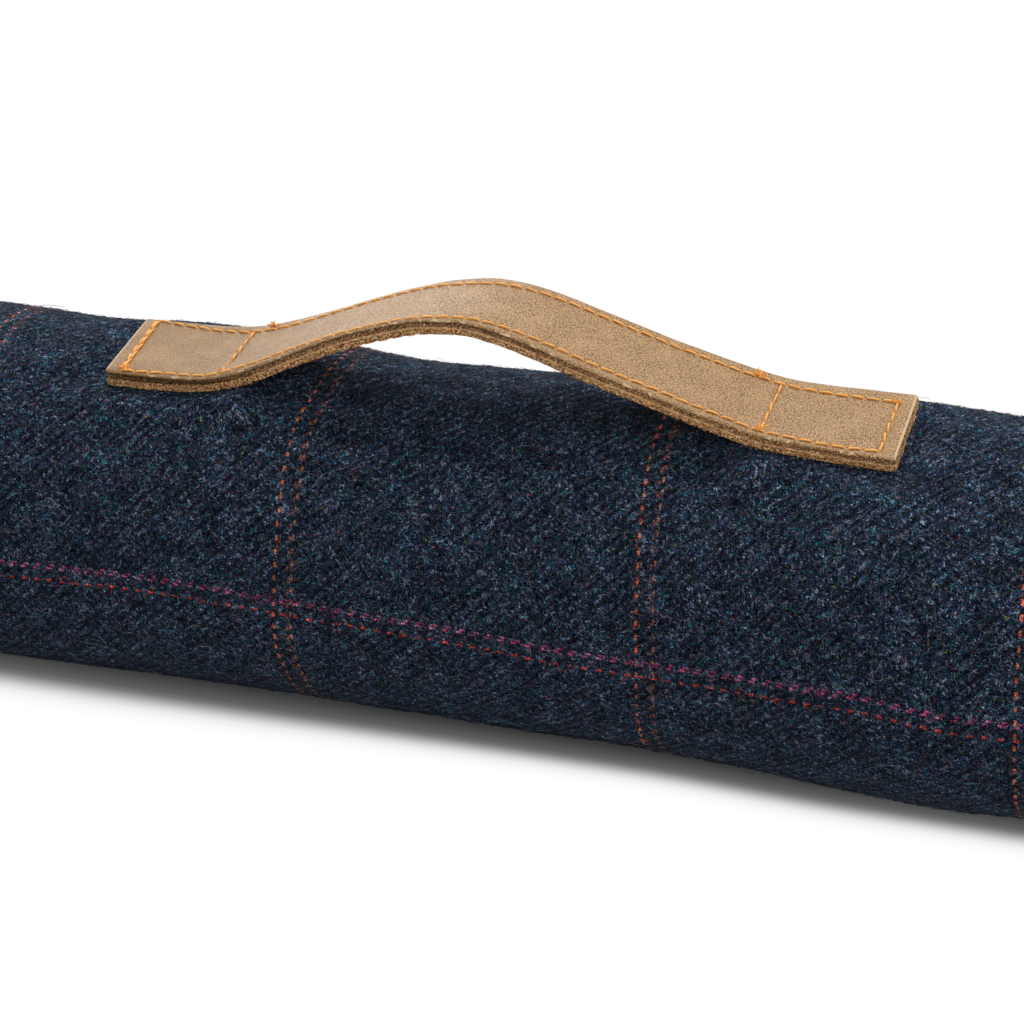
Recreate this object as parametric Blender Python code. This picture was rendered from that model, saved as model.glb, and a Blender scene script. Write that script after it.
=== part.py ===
# Draught excluder: a long roll of checked tweed, filled firm and closed by round end panels,
# with a carrying handle of two stitched leather strips that arches over its middle.
# Metres, +Z up, X along the roll. The origin is on the floor, under the middle of the roll.
import math
from collections import namedtuple

import bmesh
import bpy

MM = 0.001
GAP = 0.3 * MM

# Roll
ROLL_LENGTH = 900 * MM
FLOOR_SINK = 4 * MM
SHOULDER_LENGTH = 14 * MM
RIM_RADIUS = 48.3 * MM
RING_SPACING = 16 * MM
SHOULDER_RINGS = 4
FRONT_STEPS = 14
FLOOR_STEPS = 4
BACK_STEPS = 18

# Round end panels
PANEL_RADIUS = 48 * MM
PANEL_THICKNESS = 1.4 * MM
PANEL_CROWN = 7 * MM
PANEL_SIDES = 40
PANEL_RINGS = 4

# Handle
HANDLE_LEFT = -114.5 * MM
HANDLE_RIGHT = 115.7 * MM
HANDLE_WIDTH = 30 * MM
LEATHER = 2.1 * MM
HANDLE_SWAY = -12.5 * MM
HANDLE_STEP = 6 * MM
CORNER_CUT = 1.2 * MM
EDGE_CUT = 0.4 * MM

# How far in from its two ends the handle is sewn down, and how the cloth is drawn flat there
SEWN_LEFT = -76 * MM
SEWN_RIGHT = 80 * MM
DENT_MARGIN = 2 * MM
DENT_FADE_ACROSS = 7 * MM
DENT_FADE_ALONG = 11 * MM
DENT_COLUMNS = (27 * MM, 22 * MM, 17 * MM, 8.5 * MM, 0, -8.5 * MM, -17 * MM, -22 * MM, -27 * MM)
DENT_RINGS = (14 * MM, 8 * MM, 2 * MM, -8 * MM, -18 * MM, -28 * MM, -35 * MM, -42 * MM, -50 * MM)

# Sections of the roll: its radius, and how far its middle sways to the back, in millimetres.
# Between the rows the roll follows a smooth curve, as a hand-filled tube does.
RollRow = namedtuple("RollRow", "place radius sway")
ROLL_ROWS = (
    RollRow(-440, 53.0, 3.0),
    RollRow(-380, 54.2, 4.6),
    RollRow(-320, 53.0, 3.8),
    RollRow(-260, 53.9, 1.6),
    RollRow(-210, 54.1, 0.2),
    RollRow(-165, 53.8, -0.5),
    RollRow(-135, 53.4, 0.2),
    RollRow(-105, 53.7, 2.0),
    RollRow(-75, 53.8, 2.2),
    RollRow(-45, 52.2, 2.4),
    RollRow(-15, 52.1, 3.2),
    RollRow(15, 52.6, 2.9),
    RollRow(45, 53.0, 2.7),
    RollRow(75, 53.8, 1.6),
    RollRow(105, 55.0, -2.4),
    RollRow(135, 55.2, -4.2),
    RollRow(165, 54.1, -2.0),
    RollRow(210, 53.4, -1.6),
    RollRow(260, 54.4, -1.0),
    RollRow(320, 53.2, 1.4),
    RollRow(380, 54.1, 3.2),
    RollRow(440, 53.2, 2.4),
)

# The handle's run: the height of its top face at mid width, in millimetres, and how far that
# face leans towards the front, in degrees.
HandleRow = namedtuple("HandleRow", "place height lean")
HANDLE_ROWS = (
    HandleRow(-114.5, 103.6, 12.9),
    HandleRow(-96, 103.8, 12.7),
    HandleRow(-85, 104.5, 12.2),
    HandleRow(-76, 106.4, 10.5),
    HandleRow(-67, 109.6, 8.4),
    HandleRow(-58, 113.4, 5.6),
    HandleRow(-40, 120.9, 3.4),
    HandleRow(-22, 126.8, 4.4),
    HandleRow(-13, 128.4, 5.6),
    HandleRow(-4, 129.1, 7.0),
    HandleRow(5, 128.0, 9.0),
    HandleRow(14, 125.8, 10.4),
    HandleRow(32, 120.3, 11.5),
    HandleRow(50, 115.1, 11.2),
    HandleRow(68, 110.3, 12.2),
    HandleRow(77, 108.2, 13.3),
    HandleRow(86, 107.2, 13.4),
    HandleRow(115.7, 106.4, 16.5),
)

Finish = namedtuple("Finish", "color roughness metallic")
TWEED = Finish((0.020, 0.026, 0.045), 0.95, 0.0)
LEATHER_GRAIN = Finish((0.270, 0.175, 0.100), 0.60, 0.0)
LEATHER_UNDER = Finish((0.215, 0.125, 0.060), 0.85, 0.0)


def curve_slope(rows, index, column):
    """Slope of a column's curve at a row; the curve is level at both ends."""
    if index in (0, len(rows) - 1):
        return 0.0
    before = rows[index - 1]
    after = rows[index + 1]
    return (getattr(after, column) - getattr(before, column)) / (after.place - before.place)


def read_curve(rows, place, column):
    """Value of a table's column at a place in metres, on a smooth curve through its rows."""
    place_mm = min(max(place / MM, rows[0].place), rows[-1].place)
    right = next(i for i in range(1, len(rows)) if rows[i].place >= place_mm)
    left = right - 1
    span = rows[right].place - rows[left].place
    t = (place_mm - rows[left].place) / span
    start = getattr(rows[left], column)
    end = getattr(rows[right], column)
    start_slope = curve_slope(rows, left, column) * span
    end_slope = curve_slope(rows, right, column) * span
    rise = t * t * (3 - 2 * t)
    return (
        start + (end - start) * rise
        + start_slope * t * (1 - t) ** 2
        - end_slope * t * t * (1 - t)
    )


def fade(distance, reach):
    """Share that falls smoothly from 1 at no distance to 0 at the reach."""
    t = min(distance / reach, 1.0)
    return 1 - t * t * (3 - 2 * t)


def handle_height(place):
    """Height of the handle's top face at mid width."""
    return read_curve(HANDLE_ROWS, place, "height") * MM


def handle_grade(place):
    """Rise of the handle's top face for each metre along the roll."""
    step = 0.5 * MM
    return (handle_height(place + step) - handle_height(place - step)) / (2 * step)


def handle_lean(place):
    """Rise of the handle's top face for each metre towards the back."""
    return math.tan(math.radians(read_curve(HANDLE_ROWS, place, "lean")))


def seat_height(place, across):
    """Height of the cloth that lies a gap below the handle, across metres from its middle."""
    grade = handle_grade(place)
    lean = handle_lean(place)
    depth = (2 * LEATHER + 2 * GAP) * math.sqrt(1 + grade ** 2 + lean ** 2)
    return handle_height(place) + across * lean - depth


def cloth_height(place, y, height):
    """Height of the top cloth at a point, drawn flat against the handle where it is sewn."""
    across = y - HANDLE_SWAY
    beside = max(abs(across) - HANDLE_WIDTH / 2 - DENT_MARGIN, 0)
    if place < 0:
        along = max(HANDLE_LEFT - DENT_MARGIN - place, place - SEWN_LEFT, 0)
    else:
        along = max(place - DENT_MARGIN - HANDLE_RIGHT, SEWN_RIGHT - place, 0)
    share = fade(beside, DENT_FADE_ACROSS) * fade(along, DENT_FADE_ALONG)
    if share == 0:
        return height
    return height + (seat_height(place, across) - height) * share


Section = namedtuple("Section", "place radius y z angles")


def section_angles(radius, sway):
    """Angles round a section, from the handle's far side over the top, down and up the back."""
    angles = [math.acos((HANDLE_SWAY + across - sway) / radius) for across in DENT_COLUMNS]
    over_handle = angles[-1]
    behind_handle = angles[0]
    half_flat = math.acos((radius - FLOOR_SINK) / radius)
    floor_front = 1.5 * math.pi - half_flat
    floor_back = 1.5 * math.pi + half_flat
    stretches = (
        (over_handle, floor_front, FRONT_STEPS),
        (floor_front, floor_back, FLOOR_STEPS),
        (floor_back, 2 * math.pi + behind_handle, BACK_STEPS),
    )
    for start, end, steps in stretches:
        angles += [start + (end - start) * step / steps for step in range(1, steps + 1)]
    return angles


def spread(start, end, spacing):
    """Places from just after a start up to an end, evenly apart at about a spacing."""
    steps = round((end - start) / spacing)
    return [start + (end - start) * step / steps for step in range(1, steps + 1)]


def roll_places():
    """Places of the rings along the body of the roll, closer where the handle is sewn down."""
    shoulder = ROLL_LENGTH / 2 - PANEL_CROWN - SHOULDER_LENGTH
    left = [HANDLE_LEFT - offset for offset in DENT_RINGS]
    right = [HANDLE_RIGHT + offset for offset in reversed(DENT_RINGS)]
    places = [-shoulder]
    places += spread(-shoulder, left[0], RING_SPACING)
    places += left[1:]
    places += spread(left[-1], right[0], RING_SPACING)
    places += right[1:]
    places += spread(right[-1], shoulder, RING_SPACING)
    return places


def body_section(place):
    """Section of the roll's body, with its middle set so that the roll sinks on the floor."""
    radius = read_curve(ROLL_ROWS, place, "radius") * MM
    sway = read_curve(ROLL_ROWS, place, "sway") * MM
    return Section(place, radius, sway, radius - FLOOR_SINK, section_angles(radius, sway))


def crown_reach(distance):
    """How far the filled end bulges past its rim, at a distance from the end's middle."""
    height = PANEL_CROWN - PANEL_THICKNESS - GAP
    return height * (1 - (distance / RIM_RADIUS) ** 2)


def end_sections(body):
    """Sections of one end of the roll, from its shoulder to the middle of the end face."""
    side = math.copysign(1, body.place)
    sections = []
    for step in range(1, SHOULDER_RINGS + 1):
        turn = 0.5 * math.pi * step / SHOULDER_RINGS
        radius = RIM_RADIUS + (body.radius - RIM_RADIUS) * math.cos(turn)
        place = body.place + side * SHOULDER_LENGTH * math.sin(turn)
        sections.append(body._replace(place=place, radius=radius))
    rim_place = sections[-1].place
    for step in range(1, PANEL_RINGS + 1):
        radius = RIM_RADIUS * (1 - step / PANEL_RINGS)
        place = rim_place + side * crown_reach(radius)
        sections.append(body._replace(place=place, radius=radius))
    return sections


def wrap_sheet(rows, columns, place_point):
    """Closed surface from a flat grid: its columns wrap round and meet, its ends close."""
    surface = bmesh.new()
    bmesh.ops.create_grid(surface, x_segments=columns, y_segments=rows - 1, size=0.5)
    for vert in surface.verts:
        column = round((vert.co.x + 0.5) * columns)
        row = round((vert.co.y + 0.5) * (rows - 1))
        vert.co = place_point(row, column % columns)
    bmesh.ops.remove_doubles(surface, verts=surface.verts, dist=0.01 * MM)
    bmesh.ops.holes_fill(surface, edges=surface.edges, sides=0)
    bmesh.ops.recalc_face_normals(surface, faces=surface.faces)
    return surface


def roll_surface():
    """The filled roll: body rings, dented under the handle, and a domed end on each side."""
    body = [body_section(place) for place in roll_places()]
    left_end = list(reversed(end_sections(body[0])))
    sections = left_end + body + end_sections(body[-1])
    columns = len(body[0].angles) - 1

    def place_point(row, column):
        section = sections[row]
        angle = section.angles[column]
        y = section.y + section.radius * math.cos(angle)
        z = section.z + section.radius * math.sin(angle)
        if z > section.z:
            z = cloth_height(section.place, y, z)
        return section.place, y, max(z, 0)

    return wrap_sheet(len(sections), columns, place_point)


def panel_surface():
    """A domed round end panel, a gap beyond the filled end; it bulges towards +X."""
    profile = []
    for step in range(PANEL_RINGS + 1):
        radius = (PANEL_RADIUS - PANEL_THICKNESS) * step / PANEL_RINGS
        profile.append((radius, crown_reach(radius) + GAP + PANEL_THICKNESS))
    for step in range(PANEL_RINGS, -1, -1):
        radius = PANEL_RADIUS * step / PANEL_RINGS
        profile.append((radius, crown_reach(radius) + GAP))

    def place_point(row, column):
        radius, reach = profile[row]
        angle = 2 * math.pi * column / PANEL_SIDES
        return reach, radius * math.cos(angle), radius * math.sin(angle)

    return wrap_sheet(len(profile), PANEL_SIDES, place_point)


def handle_stations():
    """Places along the handle and its half width there, narrower at the cut corners."""
    first = HANDLE_LEFT + CORNER_CUT
    last = HANDLE_RIGHT - CORNER_CUT
    full = HANDLE_WIDTH / 2
    stations = [(HANDLE_LEFT, full - CORNER_CUT), (first, full)]
    stations += [(place, full) for place in spread(first, last, HANDLE_STEP)]
    stations.append((HANDLE_RIGHT, full - CORNER_CUT))
    return stations


def strip_outline(half_width):
    """Points round a strip's cut end, as metres across and below its grain face."""
    under = [(half_width * share, LEATHER) for share in (1, 0.5, 0, -0.5, -1)]
    face = half_width - EDGE_CUT
    grain = [(face * share, 0) for share in (-1, -0.5, 0, 0.5, 1)]
    return under + [(-half_width, EDGE_CUT)] + grain + [(half_width, EDGE_CUT)]


def strip_surface(depth):
    """One leather strip of the handle, its grain face a depth below the handle's top face."""
    stations = handle_stations()
    columns = len(strip_outline(HANDLE_WIDTH))

    def place_point(row, column):
        place, half_width = stations[row]
        across, below = strip_outline(half_width)[column]
        grade = math.atan(handle_grade(place))
        lean = math.atan(handle_lean(place))
        fall = depth + below
        y = across * math.cos(lean) + fall * math.sin(lean)
        z = handle_height(place) + across * math.sin(lean) - fall * math.cos(lean) * math.cos(grade)
        return place + fall * math.sin(grade), y, z

    return wrap_sheet(len(stations), columns, place_point)


def principled(name, finish):
    """Material with one Principled shader in a finish."""
    material = bpy.data.materials.new(name)
    material.use_nodes = True
    shader = material.node_tree.nodes["Principled BSDF"]
    shader.inputs["Base Color"].default_value = (*finish.color, 1)
    shader.inputs["Roughness"].default_value = finish.roughness
    shader.inputs["Metallic"].default_value = finish.metallic
    return material


def mesh_from(name, surface, material):
    """Smooth-shaded mesh of a surface, with its sharp edges kept."""
    mesh = bpy.data.meshes.new(name)
    surface.to_mesh(mesh)
    surface.free()
    mesh.materials.append(material)
    mesh.shade_smooth()
    mesh.set_sharp_from_angle(angle=math.radians(35))
    return mesh


def add_piece(name, mesh, parent, location=(0, 0, 0), turn=0):
    """Object for one piece, turned about Z and placed under its parent."""
    piece = bpy.data.objects.new(name, mesh)
    piece.parent = parent
    piece.location = location
    piece.rotation_euler = (0, 0, turn)
    bpy.context.scene.collection.objects.link(piece)
    return piece


def add_panels(parent):
    """Both round end panels, each a gap beyond the end of the roll."""
    mesh = mesh_from("end_panel", panel_surface(), principled("tweed_end", TWEED))
    rim_place = ROLL_LENGTH / 2 - PANEL_CROWN
    for name, side, turn in (("end_left", -1, math.pi), ("end_right", 1, 0)):
        section = body_section(side * (rim_place - SHOULDER_LENGTH))
        add_piece(name, mesh, parent, (side * rim_place, section.y, section.z), turn)


def add_handle(parent):
    """The two leather strips, one a gap below the other."""
    strips = (
        ("handle_top", 0, LEATHER_GRAIN),
        ("handle_under", LEATHER + GAP, LEATHER_UNDER),
    )
    for name, depth, finish in strips:
        mesh = mesh_from(name, strip_surface(depth), principled(name + "_leather", finish))
        add_piece(name, mesh, parent, (0, HANDLE_SWAY, 0))


def main():
    """Clear the scene and build every piece under one empty on the floor."""
    for old in list(bpy.data.objects):
        bpy.data.objects.remove(old, do_unlink=True)
    floor_point = bpy.data.objects.new("floor_point", None)
    bpy.context.scene.collection.objects.link(floor_point)
    roll_mesh = mesh_from("roll", roll_surface(), principled("tweed", TWEED))
    add_piece("roll", roll_mesh, floor_point)
    add_panels(floor_point)
    add_handle(floor_point)


if __name__ == "__main__":
    main()
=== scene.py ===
"""Looks of the draught excluder: its tweed roll, leather handle, stitching and loose fibres."""
import logging
import math
from dataclasses import dataclass
from enum import Enum
from functools import partial, reduce
from typing import Any, NamedTuple, Sequence

import bmesh
import bpy
import numpy as np
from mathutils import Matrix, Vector, noise


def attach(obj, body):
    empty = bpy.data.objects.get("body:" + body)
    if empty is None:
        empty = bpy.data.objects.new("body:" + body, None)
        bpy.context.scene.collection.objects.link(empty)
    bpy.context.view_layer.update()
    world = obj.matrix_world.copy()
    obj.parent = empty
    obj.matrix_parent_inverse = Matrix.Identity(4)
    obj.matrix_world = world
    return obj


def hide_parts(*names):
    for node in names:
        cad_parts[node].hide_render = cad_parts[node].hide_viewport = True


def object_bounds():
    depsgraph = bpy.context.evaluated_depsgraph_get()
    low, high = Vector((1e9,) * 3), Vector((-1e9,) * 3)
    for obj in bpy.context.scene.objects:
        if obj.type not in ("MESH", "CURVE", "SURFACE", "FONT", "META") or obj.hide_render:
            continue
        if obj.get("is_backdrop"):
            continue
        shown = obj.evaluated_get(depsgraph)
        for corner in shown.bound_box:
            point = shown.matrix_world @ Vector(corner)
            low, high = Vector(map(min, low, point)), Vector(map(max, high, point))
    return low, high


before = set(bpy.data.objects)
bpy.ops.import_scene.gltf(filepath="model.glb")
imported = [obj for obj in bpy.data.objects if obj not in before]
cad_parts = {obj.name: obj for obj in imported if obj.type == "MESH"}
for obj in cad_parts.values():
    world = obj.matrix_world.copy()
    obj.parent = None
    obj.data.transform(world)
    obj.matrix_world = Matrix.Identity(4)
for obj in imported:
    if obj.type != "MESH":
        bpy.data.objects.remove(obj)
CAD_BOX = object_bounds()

MM = 0.001
DEGREE = math.pi / 180
WELD = 0.001 * MM
FLAT_FACE_CORNERS = 5

log = logging.getLogger("draught_excluder")

Colour = tuple[float, float, float]
Socket = bpy.types.NodeSocket


class Curve:
    """Smooth curve through the rows of a table, level at both ends."""

    def __init__(
        self,
        rows: Sequence[tuple[float, float]],
        unit: float = MM,
        place_unit: float = MM,
    ) -> None:
        """Keep the rows and find the slope at each.

        Args:
            rows: Place and value, in order of place.
            unit: What one of the values is worth.
            place_unit: What one of the places is worth.
        """
        table = np.array(rows, dtype=float)
        self.places = table[:, 0] * place_unit
        self.values = table[:, 1] * unit
        self.slopes = np.zeros(len(table))
        rise = self.values[2:] - self.values[:-2]
        self.slopes[1:-1] = rise / (self.places[2:] - self.places[:-2])

    def at(self, place: np.ndarray) -> np.ndarray:
        """Read the curve.

        Args:
            place: Places along the roll, in metres.

        Returns:
            The curve's value at each place.
        """
        inside = np.clip(place, self.places[0], self.places[-1])
        right = np.clip(np.searchsorted(self.places, inside), 1, len(self.places) - 1)
        left = right - 1
        span = self.places[right] - self.places[left]
        t = (inside - self.places[left]) / span
        step = self.values[right] - self.values[left]
        start_bend = self.slopes[left] * span * t * (1 - t) ** 2
        end_bend = self.slopes[right] * span * t * t * (1 - t)
        return self.values[left] + step * t * t * (3 - 2 * t) + start_bend - end_bend


def ease(value: np.ndarray, start: float, end: float) -> np.ndarray:
    """Rise smoothly from 0 to 1.

    Args:
        value: Values to read.
        start: Value where the rise starts.
        end: Value where it ends; below start, it falls instead.

    Returns:
        The share reached at each value.
    """
    t = np.clip((value - start) / (end - start), 0, 1)
    return t * t * (3 - 2 * t)


def lumps(points: np.ndarray, size: float, seed: float = 0.0) -> np.ndarray:
    """Smooth noise at points in space.

    Args:
        points: Array of points, its last axis x, y and z.
        size: Breadth of a lump, in metres.
        seed: Shift that makes one noise differ from another.

    Returns:
        Noise from about -1 to 1, one value for each point.
    """
    flat = points.reshape(-1, 3) / size + seed
    values = np.array([noise.noise(Vector(point)) for point in flat.tolist()])
    return values.reshape(points.shape[:-1])


def unit(vectors: np.ndarray) -> np.ndarray:
    """Vectors of length one, in the same directions."""
    return vectors / np.maximum(np.linalg.norm(vectors, axis=-1, keepdims=True), 1e-12)


def together(*parts: np.ndarray) -> np.ndarray:
    """Points made of one array for each coordinate."""
    return np.stack(np.broadcast_arrays(*parts), axis=-1)


@dataclass(frozen=True)
class HandleForm:
    """Run of the handle: how high its upper face stands and how far it leans to the front."""

    left: float = -115.3 * MM
    right: float = 116.4 * MM
    width: float = 30 * MM
    leather: float = 2.1 * MM
    gap: float = 0.3 * MM
    sway: float = -12.5 * MM
    sewn_left: float = -76 * MM
    sewn_right: float = 80 * MM
    parts_from: float = -66 * MM
    parted_at: float = -92 * MM
    splay_depth: float = 0.9 * MM
    splay_run: tuple[float, float] = (-74 * MM, -106 * MM)
    splay_reach: tuple[float, float] = (7 * MM, -14 * MM)
    height: Curve = Curve((
        (-114.5, 103.6), (-96, 103.8), (-85, 104.5), (-76, 106.4), (-67, 109.6), (-58, 113.4),
        (-40, 120.9), (-22, 126.8), (-13, 128.4), (-4, 129.1), (5, 128.0), (14, 125.8),
        (32, 120.3), (50, 115.1), (68, 110.3), (77, 108.2), (86, 107.2), (115.7, 106.4),
    ))
    lean: Curve = Curve((
        (-114.5, 12.9), (-96, 12.7), (-85, 12.2), (-76, 10.5), (-67, 8.4), (-58, 5.6),
        (-40, 3.4), (-22, 4.4), (-13, 5.6), (-4, 7.0), (5, 9.0), (14, 10.4), (32, 11.5),
        (50, 11.2), (68, 12.2), (77, 13.3), (86, 13.4), (115.7, 16.5),
    ), unit=DEGREE)

    def grade(self, place: np.ndarray) -> np.ndarray:
        """Rise of the upper face for each metre along the roll."""
        step = 0.5 * MM
        return (self.height.at(place + step) - self.height.at(place - step)) / (2 * step)

    def seat(self, place: np.ndarray, across: np.ndarray) -> np.ndarray:
        """Find the cloth's height a gap below the two strips.

        Args:
            place: Places along the roll.
            across: Distance from the handle's middle line, to the back.

        Returns:
            The height of the cloth at each point.
        """
        slope = np.tan(self.lean.at(place))
        depth = 2 * (self.leather + self.gap) * np.sqrt(1 + self.grade(place) ** 2 + slope ** 2)
        return self.height.at(place) + across * slope - depth - self.splay(place, across)

    def splay(self, place: np.ndarray, across: np.ndarray) -> np.ndarray:
        """Depth by which the strips stand apart at their near left corner."""
        return self.splay_depth * ease(place, *self.splay_run) * ease(across, *self.splay_reach)

    def surface(self, place: np.ndarray, across: np.ndarray, fall: np.ndarray) -> np.ndarray:
        """Place points in or on the strips.

        Args:
            place: Places along the handle.
            across: Distance from its middle line, to the back.
            fall: Depth below the upper face; above it where this is negative.

        Returns:
            The points in the frame of the part.
        """
        tilt = np.arctan(self.grade(place))
        lean = self.lean.at(place)
        x = place + fall * np.sin(tilt)
        y = self.sway + across * np.cos(lean) + fall * np.sin(lean)
        drop = fall * np.cos(lean) * np.cos(tilt)
        z = self.height.at(place) + across * np.sin(lean) - drop
        return together(x, y, z)


@dataclass(frozen=True)
class RollForm:
    """Form of the filled tube, and how its top cloth is drawn down under the sewn handle."""

    handle: HandleForm = HandleForm()
    length: float = 900 * MM
    floor_sink: float = 4 * MM
    shoulder: float = 14 * MM
    rim_radius: float = 48.3 * MM
    panel_crown: float = 7 * MM
    fill_crown: float = 5.3 * MM
    drawn_margin: float = 2 * MM
    drawn_beside: float = 7 * MM
    drawn_beyond: float = 11 * MM
    radius: Curve = Curve((
        (-440, 53.0), (-380, 54.2), (-320, 53.0), (-260, 53.9), (-210, 54.1), (-165, 53.8),
        (-135, 53.4), (-105, 53.7), (-75, 53.8), (-45, 52.2), (-15, 52.1), (15, 52.6),
        (45, 53.0), (75, 53.8), (105, 55.0), (135, 55.2), (165, 54.1), (210, 53.4),
        (260, 54.4), (320, 53.2), (380, 54.1), (440, 53.2),
    ))
    sway: Curve = Curve((
        (-440, 3.0), (-380, 4.6), (-320, 3.8), (-260, 1.6), (-210, 0.2), (-165, -0.5),
        (-135, 0.2), (-105, 2.0), (-75, 2.2), (-45, 2.4), (-15, 3.2), (15, 2.9),
        (45, 2.7), (75, 1.6), (105, -2.4), (135, -4.2), (165, -2.0), (210, -1.6),
        (260, -1.0), (320, 1.4), (380, 3.2), (440, 2.4),
    ))

    @property
    def rim_place(self) -> float:
        """Distance from the middle of the roll to the rim of either end."""
        return self.length / 2 - self.panel_crown

    @property
    def body_end(self) -> float:
        """Distance from the middle of the roll to where its shoulders start."""
        return self.rim_place - self.shoulder

    def middle(self, place: np.ndarray) -> tuple[np.ndarray, np.ndarray]:
        """Find the middle of the roll's section.

        Args:
            place: Places along the roll.

        Returns:
            How far back the middle lies, and how high.
        """
        inside = np.clip(place, -self.body_end, self.body_end)
        return self.sway.at(inside), self.radius.at(inside) - self.floor_sink

    def drawn_share(self, place: np.ndarray, y: np.ndarray) -> np.ndarray:
        """Find how firmly the stitches draw the cloth to the handle.

        Args:
            place: Places along the roll.
            y: Distance to the back.

        Returns:
            1 under the sewn ends of the handle, falling to 0 beside them.
        """
        handle = self.handle
        margin = self.drawn_margin
        beside = np.abs(y - handle.sway) - handle.width / 2 - margin
        left = np.maximum(handle.left - margin - place, place - handle.sewn_left)
        right = np.maximum(place - margin - handle.right, handle.sewn_right - place)
        along = np.where(place < 0, left, right)
        return ease(beside, self.drawn_beside, 0) * ease(along, self.drawn_beyond, 0)


class Patches(NamedTuple):
    """Soft random patches in a finish: how fine they are, and the rise that reads them."""

    scale: float
    detail: float
    start: float
    end: float
    low: float = 0.0
    high: float = 1.0


class Nodes:
    """Short calls that add the nodes of one material and join them."""

    def __init__(self, name: str) -> None:
        """Start a material with one Principled shader.

        Args:
            name: The material's name.
        """
        self.material = bpy.data.materials.new(name)
        self.material.use_nodes = True
        self.tree = self.material.node_tree
        self.shader = self.tree.nodes["Principled BSDF"]

    def add(self, kind: str, *values: Any, **settings: Any) -> bpy.types.Node:
        """Add a node.

        Args:
            kind: The node's type.
            values: Output or fixed value for each of its first inputs.
            settings: Values for its own properties.

        Returns:
            The new node.
        """
        node = self.tree.nodes.new(kind)
        for name, value in settings.items():
            setattr(node, name, value)
        for socket, value in zip(node.inputs, values):
            self.feed(socket, value)
        return node

    def feed(self, socket: Socket, value: Any) -> None:
        """Join an output to an input, or set the input to a fixed value.

        Args:
            socket: The input.
            value: The output, or the fixed value.
        """
        if isinstance(value, Socket):
            self.tree.links.new(value, socket)
        else:
            socket.default_value = value

    def math(self, operation: str, *values: Any) -> Socket:
        """Calculate with values or outputs, by one operation of the Math node."""
        return self.add("ShaderNodeMath", *values, operation=operation).outputs[0]

    def total(self, *values: Any) -> Socket:
        """Sum of two values or more."""
        return reduce(partial(self.math, "ADD"), values)

    def product(self, *values: Any) -> Socket:
        """Product of two values or more."""
        return reduce(partial(self.math, "MULTIPLY"), values)

    def past(self, value: Socket, limit: float) -> Socket:
        """How far a value lies past a limit, and 0 before it."""
        return self.math("MAXIMUM", self.math("SUBTRACT", value, limit), 0.0)

    def apart(self, first: Any, second: Any) -> Socket:
        """Distance between two values."""
        return self.math("ABSOLUTE", self.math("SUBTRACT", first, second))

    def rise(
        self, value: Any, start: float, end: float, low: float = 0, high: float = 1
    ) -> Socket:
        """Rise smoothly from one value to another.

        Args:
            value: Output to read.
            start: Its value where the rise starts.
            end: Its value where the rise ends.
            low: Result before the rise.
            high: Result after it.

        Returns:
            The result's output.
        """
        limits = (start, end, low, high)
        node = self.add("ShaderNodeMapRange", value, *limits, interpolation_type="SMOOTHSTEP")
        return node.outputs[0]

    def patches(self, vector: Socket, patches: Patches) -> Socket:
        """Read random patches of a place through their rise."""
        scale, detail, *limits = patches
        return self.rise(self.noise(vector, scale, detail).outputs[0], *limits)

    def blend(self, share: Any, first: Any, second: Any) -> Socket:
        """Mix two colours.

        Args:
            share: How much of the second colour there is.
            first: Colour or output.
            second: Colour or output.

        Returns:
            The mixed colour's output.
        """
        node = self.add("ShaderNodeMix", data_type="RGBA")
        self.feed(node.inputs[0], share)
        for socket, colour in ((node.inputs[6], first), (node.inputs[7], second)):
            self.feed(socket, colour if isinstance(colour, Socket) else (*colour, 1))
        return node.outputs[2]

    def flat_place(self, layer: str) -> Socket:
        """Place on the flat piece, in metres, as its UV map holds it."""
        return self.add("ShaderNodeUVMap", uv_map=layer).outputs[0]

    def split(self, vector: Socket) -> list[Socket]:
        """The x, y and z outputs of a vector."""
        return list(self.add("ShaderNodeSeparateXYZ", vector).outputs)

    def join(self, x: Socket, y: Socket) -> Socket:
        """Vector of two outputs."""
        return self.add("ShaderNodeCombineXYZ", x, y).outputs[0]

    def stretch(self, vector: Socket, factors: Colour) -> Socket:
        """Scale a vector along x, y and z."""
        return self.add("ShaderNodeVectorMath", vector, factors, operation="MULTIPLY").outputs[0]

    def shift(self, vector: Socket, amounts: Socket, reach: float) -> Socket:
        """Move a vector by a noise's colour.

        Args:
            vector: Output to move.
            amounts: Colour output around a middle grey.
            reach: How far the whole range of the colour moves it.

        Returns:
            The moved vector's output.
        """
        grey = (0.5, 0.5, 0.5)
        moves = self.add("ShaderNodeVectorMath", amounts, grey, operation="SUBTRACT").outputs[0]
        far = (reach, reach, reach)
        node = self.add("ShaderNodeVectorMath", moves, far, vector, operation="MULTIPLY_ADD")
        return node.outputs[0]

    def noise(
        self, vector: Any, scale: float, detail: float = 1.0, rough: float = 0.5
    ) -> bpy.types.Node:
        """Add a noise texture.

        Args:
            vector: Output that places it.
            scale: Lumps for each unit of the vector.
            detail: How many finer layers it has.
            rough: How strong the finer layers are.

        Returns:
            The node, with a value output and a colour output.
        """
        node = self.add("ShaderNodeTexNoise", vector)
        for name, value in (("Scale", scale), ("Detail", detail), ("Roughness", rough)):
            node.inputs[name].default_value = value
        return node

    def chance(self, vector: Socket) -> Socket:
        """Random colour for each whole-number place."""
        node = self.add("ShaderNodeTexWhiteNoise", vector, noise_dimensions="3D")
        return node.outputs["Color"]

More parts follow.
